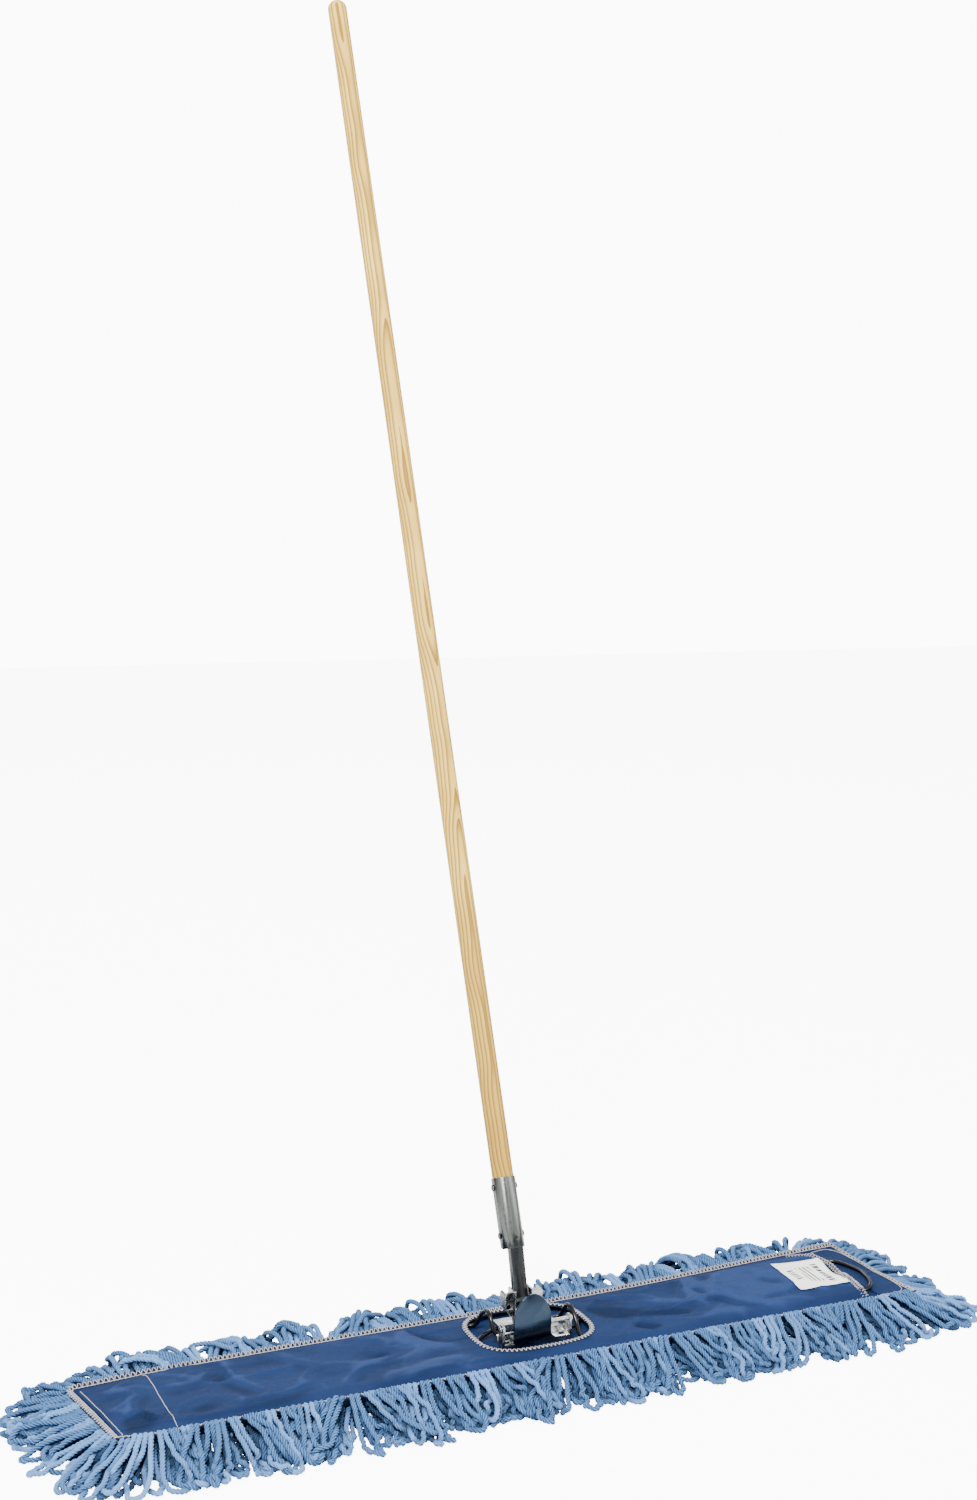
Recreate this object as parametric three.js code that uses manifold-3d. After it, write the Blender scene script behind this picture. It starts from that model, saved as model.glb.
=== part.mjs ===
// Dust mop: a looped-yarn mop head on a rigid wire frame, a clip-on swivel head and a wooden pole.
// Millimetres. +Z is up, the floor is z = 0, and the origin lies on the floor under the swivel axis.
// +X runs along the mop head towards the end where the frame slides in, and -Y is its front.

import * as THREE from "three";
import { mergeVertices } from "three/addons/utils/BufferGeometryUtils.js";
import Module from "manifold-3d";

const wasm = await Module();
wasm.setup();

const GAP = 0.3; // between pieces that touch

// Mop head
const BACKING_LENGTH = 940;
const BACKING_WIDTH = 137;
const BACKING_CORNER = 9;
const CLOTH = 1.2;
const PILE_HEIGHT = 24;
const FRINGE_LENGTH = 82;
const FRINGE_REACH = 71;
const FRINGE_ROOT_HEIGHT = 21;
const FRINGE_TIP_HEIGHT = 8;

// Pocket that holds the frame
const COVER_LEFT = -463;
const COVER_HALF_WIDTH = 62.5;
const COVER_TOP = 33.6;
const COVER_SLOPE = 6;
const OPENING_CENTRE = new THREE.Vector2(11.5, 2.5);
const OPENING_HALF_LENGTH = 65.5;
const OPENING_HALF_WIDTH = 47.5;
const OPENING_SQUARENESS = 3.2; // exponent of the superellipse
const HEM = 4.2;
const FLAP_LEFT = 428;
const LABEL_SIZE = 64;
const LABEL_CENTRE = new THREE.Vector2(379, 3);
const LABEL_TURN = THREE.MathUtils.degToRad(-4);

// Wire frame
const WIRE_RADIUS = 2.4;
const FRAME_MIDDLE = 10; // the frame is point symmetric about this x
const FRAME_HALF_LENGTH = 436;
const FRAME_HALF_WIDTH = 51;
const FRAME_CORNER = 46;
const FRAME_LEVEL = 29.7;
const BAR_LEVEL = 36;
const BAR_OFFSET = 9.5;
const HUMP_OFFSET = 45;

// Clip
const SHEET = 2.4;
const CLIP_LEFT = -24;
const CLIP_RIGHT = 40;
const REAR_HOOK_LEFT = -14;
const REAR_HOOK_RIGHT = 34;
const CLIP_HALF_DEPTH = 19;
const CLIP_TOP = BAR_LEVEL + WIRE_RADIUS + GAP + SHEET;
const LEVER_PIN_Y = -28;
const LEVER_PIN_Z = 52;
const LEVER_PIN_RADIUS = 2.3;
const EAR_LEFT = -36;
const EAR_RIGHT = 46;

// Swivel and tilt joint
const RIVET_RADIUS = 3;
const WEB_TOP = 56;
const PIVOT_HEIGHT = 66;
const TILT_PIN_RADIUS = 3;
const TANG_WIDTH = 15.5;
const TANG_THICKNESS = 8;
const YOKE_INNER = 9.3;
const YOKE_OUTER = 23;
const YOKE_HALF_DEPTH = 8;
const YOKE_TOP = 82;

// Handle, measured along its own axis from the tilt pin
const LEAN = THREE.MathUtils.degToRad(22.96);
const POLE_DIAMETER = 23.8;
const POLE_LENGTH = 1524;
const POLE_START = 67;
const FERRULE_RADIUS = 13.2;
const FERRULE_END = 133;
const FERRULE_LIP = 57;
const FACET_APEX = 81;
const FACET_DEPTH = 2.3;
const RIVET_PLACES = { lower: 71.5, upper: 123 };

const finish = (colour, roughness, metalness) =>
  new THREE.MeshStandardMaterial({ color: colour, roughness, metalness });
const PINE = finish(0xd9b582, 0.5, 0);
const GALVANISED = finish(0x8c9191, 0.45, 0.9);
const ZINC = finish(0xc9ccc8, 0.3, 0.95);
const BLACK_WIRE = finish(0x14151a, 0.35, 0.6);
const SPRING_STEEL = finish(0x55565a, 0.3, 0.9);
const NAVY_CLOTH = finish(0x27467f, 0.8, 0);
const BLUE_YARN = finish(0x6c9fd2, 0.95, 0);
const WHITE_THREAD = finish(0xd5d3d6, 0.9, 0);
const LABEL_CLOTH = finish(0xe9e7e2, 0.9, 0);

const part = new THREE.Group();

// ---------- helpers ----------

const point = (x, y) => new THREE.Vector2(x, y);

function solidOf(geometry) {
  const plain = geometry.index ? geometry.toNonIndexed() : geometry.clone();
  plain.deleteAttribute("normal");
  plain.deleteAttribute("uv");
  const merged = mergeVertices(plain, 1e-4);
  return new wasm.Manifold(
    new wasm.Mesh({
      numProp: 3,
      vertProperties: merged.attributes.position.array,
      triVerts: new Uint32Array(merged.index.array),
    }),
  );
}

function geometryOf(solid) {
  const mesh = solid.getMesh();
  const geometry = new THREE.BufferGeometry();
  geometry.setAttribute("position", new THREE.BufferAttribute(mesh.vertProperties, 3));
  geometry.setIndex(new THREE.BufferAttribute(mesh.triVerts, 1));
  geometry.computeVertexNormals();
  return geometry;
}

const join = (first, ...rest) => rest.reduce((whole, next) => whole.add(next), first);
const cut = (first, ...rest) => rest.reduce((whole, next) => whole.subtract(next), first);

function place(name, shape, material, parent = part) {
  const geometry = shape.isBufferGeometry ? shape : geometryOf(shape);
  const mesh = new THREE.Mesh(geometry, material);
  mesh.name = name;
  parent.add(mesh);
}

// A flat outline pushed along +Z from one height to another.
function upright(outline, low, high, hole) {
  const shape = new THREE.Shape(outline);
  if (hole) shape.holes.push(new THREE.Path(hole));
  const geometry = new THREE.ExtrudeGeometry(shape, { depth: high - low, bevelEnabled: false });
  return geometry.translate(0, 0, low);
}

// A side view, given as (y, z) points, pushed along +X.
function alongX(outline, left, right) {
  const geometry = upright(outline, left, right);
  const turn = new THREE.Matrix4().makeBasis(
    new THREE.Vector3(0, 1, 0),
    new THREE.Vector3(0, 0, 1),
    new THREE.Vector3(1, 0, 0),
  );
  return solidOf(geometry.applyMatrix4(turn));
}

// A front view, given as (x, z) points, pushed from the back face forwards to the front face.
function alongY(outline, front, back) {
  return solidOf(upright(outline, -back, -front).rotateX(Math.PI / 2));
}

function box(low, high) {
  const size = high.map((value, i) => value - low[i]);
  const middle = high.map((value, i) => (value + low[i]) / 2);
  return solidOf(new THREE.BoxGeometry(...size).translate(...middle));
}

// Round bars: one stands on the x, y place given, the other lies across at y, z.
function post(x, y, low, high, radius, sides = 24) {
  const bar = new THREE.CylinderGeometry(radius, radius, high - low, sides);
  return solidOf(bar.rotateX(Math.PI / 2).translate(x, y, (low + high) / 2));
}

function crossbar(y, z, left, right, radius, sides = 16) {
  const bar = new THREE.CylinderGeometry(radius, radius, right - left, sides);
  return solidOf(bar.rotateZ(Math.PI / 2).translate((left + right) / 2, y, z));
}

// The outline of a bent strip of sheet, from the middle line of its side view.
function strip(middle, thickness) {
  const offset = (side) =>
    middle.map((here, i) => {
      const before = middle[Math.max(i - 1, 0)];
      const after = middle[Math.min(i + 1, middle.length - 1)];
      const into = i ? here.clone().sub(before).normalize() : after.clone().sub(here).normalize();
      const out = after === here ? into : after.clone().sub(here).normalize();
      const mitre = point(-into.y - out.y, into.x + out.x).normalize();
      const reach = (side * thickness) / 2 / mitre.dot(point(-into.y, into.x));
      return here.clone().addScaledVector(mitre, reach);
    });
  return [...offset(-1), ...offset(1).reverse()];
}

// A closed solid between two outlines with the same number of points, both anticlockwise.
function loft(lower, lowerZ, upper, upperZ) {
  const count = lower.length;
  const ring = (outline, z) => outline.flatMap((p) => [p.x, p.y, z]);
  const index = [];
  for (const [a, b, c] of THREE.ShapeUtils.triangulateShape(lower, [])) index.push(a, c, b);
  for (const [a, b, c] of THREE.ShapeUtils.triangulateShape(upper, [])) {
    index.push(a + count, b + count, c + count);
  }
  for (let a = 0; a < count; a += 1) {
    const b = (a + 1) % count;
    index.push(a, b, b + count, a, b + count, a + count);
  }
  const geometry = new THREE.BufferGeometry();
  const positions = new Float32Array([...ring(lower, lowerZ), ...ring(upper, upperZ)]);
  geometry.setAttribute("position", new THREE.BufferAttribute(positions, 3));
  geometry.setIndex(index);
  return solidOf(geometry);
}

function quarter(x, y, radius, start, steps = 6) {
  return Array.from({ length: steps + 1 }, (_, i) => {
    const angle = start + (i / steps) * (Math.PI / 2);
    return point(x + radius * Math.cos(angle), y + radius * Math.sin(angle));
  });
}

function roundedRectangle(left, right, front, back, radius) {
  return [
    ...quarter(right - radius, back - radius, radius, 0),
    ...quarter(left + radius, back - radius, radius, Math.PI / 2),
    ...quarter(left + radius, front + radius, radius, Math.PI),
    ...quarter(right - radius, front + radius, radius, 1.5 * Math.PI),
  ];
}

function backingOutline(inset) {
  const halfLength = BACKING_LENGTH / 2 - inset;
  const halfWidth = BACKING_WIDTH / 2 - inset;
  return roundedRectangle(-halfLength, halfLength, -halfWidth, halfWidth, BACKING_CORNER);
}

// ---------- yarn ----------

function buildYarn() {
  place("yarn_pile", upright(backingOutline(1.5), 0, PILE_HEIGHT), BLUE_YARN);

  const root = BACKING_WIDTH / 2 - 1.5 + GAP;
  const tip = root + FRINGE_REACH;
  const side = (sign) => [
    point(sign * root, 0),
    point(sign * tip, 0),
    point(sign * tip, FRINGE_TIP_HEIGHT),
    point(sign * (root + FRINGE_REACH / 2), FRINGE_ROOT_HEIGHT - 4),
    point(sign * root, FRINGE_ROOT_HEIGHT),
  ];
  const halfLength = BACKING_LENGTH / 2 - 1.5;
  place("yarn_fringe_front", alongX(side(-1), -halfLength, halfLength), BLUE_YARN);
  place("yarn_fringe_rear", alongX(side(1), -halfLength, halfLength), BLUE_YARN);

  const inner = halfLength + GAP;
  const endOutline = (inset) => [
    point(inner, tip - inset),
    ...[1, 0.75, 0.5, 0.25, 0, -0.25, -0.5, -0.75, -1].map((turn) => {
      const angle = (turn * Math.PI) / 2;
      const bend = FRINGE_LENGTH * 0.85 - inset;
      return point(
        inner + FRINGE_LENGTH - inset - bend + bend * Math.cos(angle),
        Math.sign(turn) * (tip - inset - bend) + bend * Math.sin(angle),
      );
    }),
    point(inner, inset - tip),
  ];
  const end = (inset) => endOutline(inset).reverse();
  const right = loft(end(0), 0, end(FRINGE_LENGTH / 4), FRINGE_ROOT_HEIGHT - 4);
  place("yarn_fringe_right", right, BLUE_YARN);
  place("yarn_fringe_left", right.mirror([1, 0, 0]), BLUE_YARN);
}

// ---------- sewn cloths ----------

const CLOTH_BOTTOM = PILE_HEIGHT + GAP;
const CLOTH_TOP = CLOTH_BOTTOM + CLOTH;
const SEWN_ON = CLOTH_TOP + GAP;
const SLOT_EDGE = new THREE.SplineCurve([
  point(414, -COVER_HALF_WIDTH),
  point(418, -20),
  point(423, 18),
  point(413, 46),
  point(392, COVER_HALF_WIDTH),
]);

function slotEdge(halfWidth, shift) {
  return SLOT_EDGE.getPoints(16).map((p) =>
    point(p.x + shift, (p.y * halfWidth) / COVER_HALF_WIDTH),
  );
}

function coverOutline(inset, shift) {
  const halfWidth = COVER_HALF_WIDTH - inset;
  const left = COVER_LEFT + inset;
  return [
    ...slotEdge(halfWidth, shift),
    ...quarter(left + BACKING_CORNER, halfWidth - BACKING_CORNER, BACKING_CORNER, Math.PI / 2),
    ...quarter(left + BACKING_CORNER, BACKING_CORNER - halfWidth, BACKING_CORNER, Math.PI),
  ];
}

function openingOutline(margin) {
  const power = 2 / OPENING_SQUARENESS;
  const bow = (value) => Math.sign(value) * Math.abs(value) ** power;
  return Array.from({ length: 48 }, (_, i) => {
    const angle = (i / 48) * 2 * Math.PI;
    return point(
      OPENING_CENTRE.x + (OPENING_HALF_LENGTH + margin) * bow(Math.cos(angle)),
      OPENING_CENTRE.y + (OPENING_HALF_WIDTH + margin) * bow(Math.sin(angle)),
    );
  });
}

function buildCloths() {
  place("base_cloth", upright(backingOutline(0), CLOTH_BOTTOM, CLOTH_TOP), NAVY_CLOTH);

  const outside = loft(coverOutline(0, 0), SEWN_ON, coverOutline(COVER_SLOPE, 0), COVER_TOP);
  const inside = loft(
    coverOutline(1.8, 6),
    SEWN_ON - 1,
    coverOutline(COVER_SLOPE + 1.5, 6),
    COVER_TOP - CLOTH,
  );
  const opening = solidOf(upright(openingOutline(0), SEWN_ON - 1, COVER_TOP + 1));
  place("pocket_cover", cut(outside, inside, opening), NAVY_CLOTH);

  const flapRight = BACKING_LENGTH / 2 - 6.5;
  const flapHalf = COVER_HALF_WIDTH - 0.5;
  const flap = roundedRectangle(FLAP_LEFT, flapRight, -flapHalf, flapHalf, BACKING_CORNER);
  place("end_flap", upright(flap, SEWN_ON, SEWN_ON + CLOTH), NAVY_CLOTH);

  const onCover = COVER_TOP + GAP;
  const halfLabel = LABEL_SIZE / 2;
  const label = upright(
    roundedRectangle(-halfLabel, halfLabel, -halfLabel, halfLabel, 1),
    onCover,
    onCover + 0.6,
  );
  label.rotateZ(LABEL_TURN).translate(LABEL_CENTRE.x, LABEL_CENTRE.y, 0);
  place("care_label", label, LABEL_CLOTH);
}

function buildStitching() {
  const onCover = COVER_TOP + GAP;
  const binding = upright(backingOutline(0.5), SEWN_ON, SEWN_ON + 2.2, backingOutline(4.9));
  place("edge_stitching", binding, WHITE_THREAD);

  const openingHem = upright(openingOutline(HEM), onCover, onCover + 1.5, openingOutline(0.4));
  place("opening_stitching", openingHem, WHITE_THREAD);

  const hemHalfWidth = COVER_HALF_WIDTH - COVER_SLOPE - 1;
  const slotHem = [
    ...slotEdge(hemHalfWidth, -0.4),
    ...slotEdge(hemHalfWidth, -HEM).reverse(),
  ];
  place("slot_stitching", upright(slotHem, onCover, onCover + 1.2), WHITE_THREAD);

  const seamHalf = COVER_HALF_WIDTH - COVER_SLOPE - 2;
  place("cross_seam", box([-400.7, -seamHalf, onCover], [-399.3, seamHalf, onCover + 0.8]), WHITE_THREAD);
}

// ---------- wire frame ----------

// Half of the frame, from the rear bar over the right hump, round the end and back under the hump.
function framePath() {
  const hump = FRAME_MIDDLE + HUMP_OFFSET;
  const end = FRAME_MIDDLE + FRAME_HALF_LENGTH;
  const bend = FRAME_CORNER;
  const side = FRAME_HALF_WIDTH;
  const half = [
    [FRAME_MIDDLE + GAP / 2, BAR_OFFSET, BAR_LEVEL],
    [FRAME_MIDDLE + 22, BAR_OFFSET, BAR_LEVEL],
    [hump - 8, BAR_OFFSET, BAR_LEVEL],
    [hump - 1.5, 8, 39.5],
    [hump, 3, 48],
    [hump, -3, 54.5],
    [hump, -11, 56.5],
    [hump, -20, 51.5],
    [hump, -28, 43],
    [hump + 0.5, -33.5, 34],
    [hump + 4, -36.5, FRAME_LEVEL + 0.2],
    [hump + 14, -41, FRAME_LEVEL],
    [hump + 34, -side + 2, FRAME_LEVEL],
    [hump + 60, -side, FRAME_LEVEL],
    [hump + 180, -side, FRAME_LEVEL],
    [end - bend - 50, -side, FRAME_LEVEL],
    [end - bend, -side, FRAME_LEVEL],
    [end - bend * 0.29, -side + bend * 0.29, FRAME_LEVEL],
    [end, -side + bend, FRAME_LEVEL],
    [end, side - bend, FRAME_LEVEL],
    [end - bend * 0.29, side - bend * 0.29, FRAME_LEVEL],
    [end - bend, side, FRAME_LEVEL],
    [end - bend - 50, side, FRAME_LEVEL],
    [hump + 180, side, FRAME_LEVEL],
    [hump + 100, side, FRAME_LEVEL],
    [hump + 66, side - 6, FRAME_LEVEL],
    [hump + 28, 14, FRAME_LEVEL],
    [hump + 8, -6, FRAME_LEVEL + 0.6],
    [hump - 8, -BAR_OFFSET, BAR_LEVEL - 1.5],
    [FRAME_MIDDLE + 26, -BAR_OFFSET, BAR_LEVEL],
    [FRAME_MIDDLE + 2, -BAR_OFFSET, BAR_LEVEL],
  ];
  const points = half.map(([x, y, z]) => new THREE.Vector3(x, y, z));
  const mirrored = points.map((p) => new THREE.Vector3(2 * FRAME_MIDDLE - p.x, -p.y, p.z));
  return new THREE.CatmullRomCurve3([...points, ...mirrored.slice(1), closingPoint(points[0])]);
}

// The wire's ends meet, butt welded, in the middle of the rear bar.
function closingPoint(start) {
  return new THREE.Vector3(2 * FRAME_MIDDLE - start.x, start.y, start.z);
}

function roundSection(radius, sides) {
  return new THREE.Shape(
    Array.from({ length: sides }, (_, i) => {
      const angle = (i / sides) * 2 * Math.PI;
      return point(radius * Math.cos(angle), radius * Math.sin(angle));
    }),
  );
}

function buildFrame() {
  const wire = new THREE.ExtrudeGeometry(roundSection(WIRE_RADIUS, 8), {
    extrudePath: framePath(),
    steps: 220,
    curveSegments: 1,
    bevelEnabled: false,
  });
  place("frame_wire", wire, BLACK_WIRE);
}

// ---------- clip ----------

const HOOK_TOP = BAR_LEVEL - WIRE_RADIUS - GAP;

function buildClipBase() {
  const half = SHEET / 2;
  const rearHook = [
    point(-CLIP_HALF_DEPTH + 3, CLIP_TOP - half),
    point(CLIP_HALF_DEPTH - half, CLIP_TOP - half),
    point(CLIP_HALF_DEPTH - half, HOOK_TOP - half),
    point(BAR_OFFSET - 3, HOOK_TOP - half),
  ];
  const foot = [
    point(-CLIP_HALF_DEPTH + 3, CLIP_TOP - half),
    point(-CLIP_HALF_DEPTH + half, CLIP_TOP - half),
    point(-CLIP_HALF_DEPTH - half, 34),
    point(LEVER_PIN_Y - 4, 34),
  ];
  const footOutline = strip(foot, SHEET);
  const ear = [
    ...quarter(LEVER_PIN_Y, LEVER_PIN_Z, 5.5, 0),
    ...quarter(LEVER_PIN_Y, LEVER_PIN_Z, 5.5, Math.PI / 2).slice(1),
    point(LEVER_PIN_Y - 5, 33),
    point(LEVER_PIN_Y + 7, 33),
  ];
  const window = (left) => box([left + 4, LEVER_PIN_Y - 1, 30], [left + 11, LEVER_PIN_Y + 4, 38]);
  const clip = join(
    alongX(strip(rearHook, SHEET), REAR_HOOK_LEFT, REAR_HOOK_RIGHT),
    box([CLIP_LEFT, -CLIP_HALF_DEPTH + 3, CLIP_TOP - SHEET], [CLIP_RIGHT, CLIP_HALF_DEPTH, CLIP_TOP]),
    box([EAR_LEFT, -CLIP_HALF_DEPTH + 1, CLIP_TOP - SHEET], [EAR_RIGHT, 4 - CLIP_HALF_DEPTH, CLIP_TOP]),
    alongX(footOutline, EAR_LEFT, EAR_LEFT + 15),
    alongX(footOutline, EAR_RIGHT - 19, EAR_RIGHT),
    alongX(ear, EAR_LEFT, EAR_LEFT + SHEET),
    alongX(ear, EAR_RIGHT - SHEET, EAR_RIGHT),
  );
  const holes = [
    crossbar(LEVER_PIN_Y, LEVER_PIN_Z, -50, 60, LEVER_PIN_RADIUS + GAP),
    post(0, 0, 30, 50, RIVET_RADIUS + GAP),
    window(EAR_LEFT + 1),
    window(EAR_RIGHT - 16),
  ];
  place("clip_base", cut(clip, ...holes), ZINC);
}

const LEVER_LEFT = -24;
const LEVER_RIGHT = 20;
const LEVER_BOTTOM = 39;
const LEVER_CREASE = 58;
const LEVER_TOP = 88;

// The D-shaped foot lever: a creased plate, two lugs on the pin, and a hook under the front bar.
function buildLever() {
  const half = SHEET / 2;
  const face = LEVER_PIN_Y - 6.5;
  const middle = (LEVER_LEFT + LEVER_RIGHT) / 2;
  const radius = (LEVER_RIGHT - LEVER_LEFT) / 2;
  const sideView = [
    point(face + 2.6, LEVER_TOP),
    point(face, LEVER_CREASE),
    point(face, LEVER_BOTTOM + half),
    point(LEVER_PIN_Y + 5, LEVER_BOTTOM + half),
    point(LEVER_PIN_Y + 5, HOOK_TOP - half),
    point(-BAR_OFFSET + 0.1, HOOK_TOP - half),
  ];
  const frontView = [
    point(LEVER_LEFT, LEVER_BOTTOM),
    point(LEVER_RIGHT, LEVER_BOTTOM),
    ...Array.from({ length: 17 }, (_, i) => {
      const angle = (i / 16) * Math.PI;
      const rise = LEVER_TOP - LEVER_CREASE;
      return point(middle + radius * Math.cos(angle), LEVER_CREASE + rise * Math.sin(angle));
    }),
  ];
  const hookLeft = middle - 14;
  const hookRight = middle + 14;
  const lug = [
    ...quarter(LEVER_PIN_Y, LEVER_PIN_Z, 5, -Math.PI / 2),
    ...quarter(LEVER_PIN_Y, LEVER_PIN_Z, 5, 0).slice(1),
    point(face, LEVER_PIN_Z + 5),
    point(face, LEVER_PIN_Z - 5),
  ];
  const plate = alongX(strip(sideView.slice(0, 4), SHEET), LEVER_LEFT, LEVER_RIGHT);
  const hook = alongX(strip(sideView.slice(2), SHEET), hookLeft, hookRight);
  const lever = join(
    plate.intersect(alongY(frontView, -60, 20)),
    hook,
    alongX(lug, LEVER_LEFT + 5, LEVER_LEFT + 5 + SHEET),
    alongX(lug, LEVER_RIGHT - 5 - SHEET, LEVER_RIGHT - 5),
  );
  const bore = crossbar(LEVER_PIN_Y, LEVER_PIN_Z, -50, 60, LEVER_PIN_RADIUS + GAP);
  place("clip_lever", lever.subtract(bore), ZINC);
}

function buildLeverPin() {
  const head = (left, right) => crossbar(LEVER_PIN_Y, LEVER_PIN_Z, left, right, LEVER_PIN_RADIUS + 1.2);
  const shank = crossbar(LEVER_PIN_Y, LEVER_PIN_Z, EAR_LEFT - 2, EAR_RIGHT + 2, LEVER_PIN_RADIUS);
  const pin = join(
    shank,
    head(EAR_LEFT - 2, EAR_LEFT - GAP),
    head(EAR_RIGHT + GAP, EAR_RIGHT + 2),
  );
  place("lever_pin", pin, ZINC);
}

// A torsion spring round the pin, between the left ear and the lever's left lug.
function buildLeverSpring() {
  const turns = 6;
  const wire = 0.7;
  const coilRadius = LEVER_PIN_RADIUS + GAP + wire + 0.2;
  const start = EAR_LEFT + SHEET + 1.5;
  const pitch = (LEVER_LEFT + 5 - 1.5 - start) / turns;
  const coil = Array.from({ length: turns * 10 + 1 }, (_, i) => {
    const angle = (i / 10) * 2 * Math.PI;
    return new THREE.Vector3(
      start + (i / 10) * pitch,
      LEVER_PIN_Y + coilRadius * Math.cos(angle),
      LEVER_PIN_Z + coilRadius * Math.sin(angle),
    );
  });
  const leg = new THREE.Vector3(start, LEVER_PIN_Y + coilRadius, LEVER_PIN_Z - 9);
  const path = new THREE.CatmullRomCurve3([leg, ...coil]);
  const spring = new THREE.ExtrudeGeometry(roundSection(wire, 6), {
    extrudePath: path,
    steps: turns * 12 + 4,
    bevelEnabled: false,
  });
  place("lever_spring", spring, SPRING_STEEL);
}

// ---------- swivel and tilt joint ----------

function buildSwivel() {
  const ring = (low, high, radius) =>
    post(0, 0, low, high, radius).subtract(post(0, 0, low - 1, high + 1, RIVET_RADIUS + GAP));
  const webBottom = WEB_TOP - SHEET;
  const washerBottom = webBottom - GAP - 1.6;
  place("swivel_washer", ring(washerBottom, webBottom - GAP, 10.5), ZINC);
  place("swivel_bushing", ring(CLIP_TOP + GAP, washerBottom - GAP, 9), GALVANISED);

  const rivet = join(
    post(0, 0, BAR_LEVEL, WEB_TOP + 2, RIVET_RADIUS),
    post(0, 0, BAR_LEVEL, CLIP_TOP - SHEET - GAP, 5),
    post(0, 0, WEB_TOP + GAP, WEB_TOP + 2, 5.5),
  );
  place("swivel_rivet", rivet, GALVANISED);
}

// The yoke turns on the swivel rivet. Each ear is a folded channel that holds the tilt pin.
function buildYoke() {
  const half = SHEET / 2;
  const channel = strip(
    [
      point(-YOKE_INNER - half, YOKE_HALF_DEPTH),
      point(-YOKE_INNER - half, half - YOKE_HALF_DEPTH),
      point(half - YOKE_OUTER, half - YOKE_HALF_DEPTH),
      point(half - YOKE_OUTER, YOKE_HALF_DEPTH - 3),
    ],
    SHEET,
  );
  const webBottom = WEB_TOP - SHEET;
  const silhouette = [
    point(-YOKE_INNER + 1, webBottom - 1),
    point(-YOKE_INNER + 1, YOKE_TOP),
    point(-YOKE_OUTER + 3, YOKE_TOP),
    point(-YOKE_OUTER - 1, YOKE_TOP - 4),
    point(-YOKE_OUTER - 1, 66),
    point(-YOKE_INNER - 5, webBottom),
  ];
  const window = box([-20, -YOKE_HALF_DEPTH - 1, 63], [-13.5, half - YOKE_HALF_DEPTH + 2, 68]);
  const leftEar = solidOf(upright(channel, webBottom, YOKE_TOP))
    .intersect(alongY(silhouette, -40, 40))
    .subtract(window);
  const web = box([-YOKE_INNER - 1, -YOKE_HALF_DEPTH, webBottom], [YOKE_INNER + 1, YOKE_HALF_DEPTH, WEB_TOP]);
  const holes = [
    post(0, 0, 50, 60, RIVET_RADIUS + GAP),
    crossbar(0, PIVOT_HEIGHT, -YOKE_OUTER + SHEET, YOKE_OUTER - SHEET, TILT_PIN_RADIUS + GAP),
  ];
  const yoke = cut(join(web, leftEar, leftEar.mirror([1, 0, 0])), ...holes);
  place("swivel_yoke", yoke, ZINC);

  const outer = YOKE_INNER + SHEET + GAP;
  const pin = join(
    crossbar(0, PIVOT_HEIGHT, -outer - 2, outer + 2, TILT_PIN_RADIUS),
    crossbar(0, PIVOT_HEIGHT, -outer - 2, -outer, TILT_PIN_RADIUS + 1.8),
    crossbar(0, PIVOT_HEIGHT, outer, outer + 2, TILT_PIN_RADIUS + 1.8),
  );
  place("tilt_pin", pin, GALVANISED);

  const washerIn = TANG_WIDTH / 2 + GAP;
  const washerOut = YOKE_INNER - GAP;
  const washer = (left, right) =>
    crossbar(0, PIVOT_HEIGHT, left, right, 6.4).subtract(
      crossbar(0, PIVOT_HEIGHT, left - 1, right + 1, TILT_PIN_RADIUS + GAP),
    );
  place("tilt_washer_left", washer(-washerOut, -washerIn), ZINC);
  place("tilt_washer_right", washer(washerIn, washerOut), ZINC);
}

// ---------- handle, in its own frame with the tilt pin at the origin ----------

const handle = new THREE.Group();
handle.position.set(0, 0, PIVOT_HEIGHT);
handle.rotation.x = -LEAN;
part.add(handle);

const rivetHoles = () =>
  Object.values(RIVET_PLACES).map((along) => crossbar(0, along, -30, 30, 2 + GAP, 12));

function buildFerrule() {
  const bore = POLE_DIAMETER / 2 + GAP;
  const front = FERRULE_RADIUS - FACET_DEPTH;
  const half = TANG_WIDTH / 2;
  const tube = post(0, 0, FERRULE_LIP, FERRULE_END, FERRULE_RADIUS, 32);
  const facet = alongX(
    [point(-30, 40), point(-front, 40), point(-front, FERRULE_LIP), point(-FERRULE_RADIUS, FACET_APEX), point(-30, FACET_APEX)],
    -30,
    30,
  );
  const rearCut = alongX(
    [point(TANG_THICKNESS - front, 40), point(30, 40), point(30, FERRULE_LIP + 8), point(TANG_THICKNESS - front, FERRULE_LIP)],
    -30,
    30,
  );
  const hollow = post(0, 0, 40, POLE_START, bore, 32).intersect(
    box([-30, TANG_THICKNESS - front, 40], [30, 30, POLE_START + 1]),
  );
  const tang = alongX(
    [
      point(-4.6, 3),
      point(TANG_THICKNESS - 4.6, 3),
      point(TANG_THICKNESS - front, FERRULE_LIP + 1),
      point(-front, FERRULE_LIP + 1),
    ],
    -half,
    half,
  );
  const eye = crossbar(0, 0, -half, half, 6.8, 20);
  const holes = [
    post(0, 0, POLE_START - GAP, FERRULE_END + 1, bore, 32),
    crossbar(0, 0, -20, 20, TILT_PIN_RADIUS + GAP),
    ...rivetHoles(),
  ];
  const body = join(cut(tube, facet, rearCut, hollow), tang, eye);
  place("ferrule", cut(body, ...holes), GALVANISED, handle);
}

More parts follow.
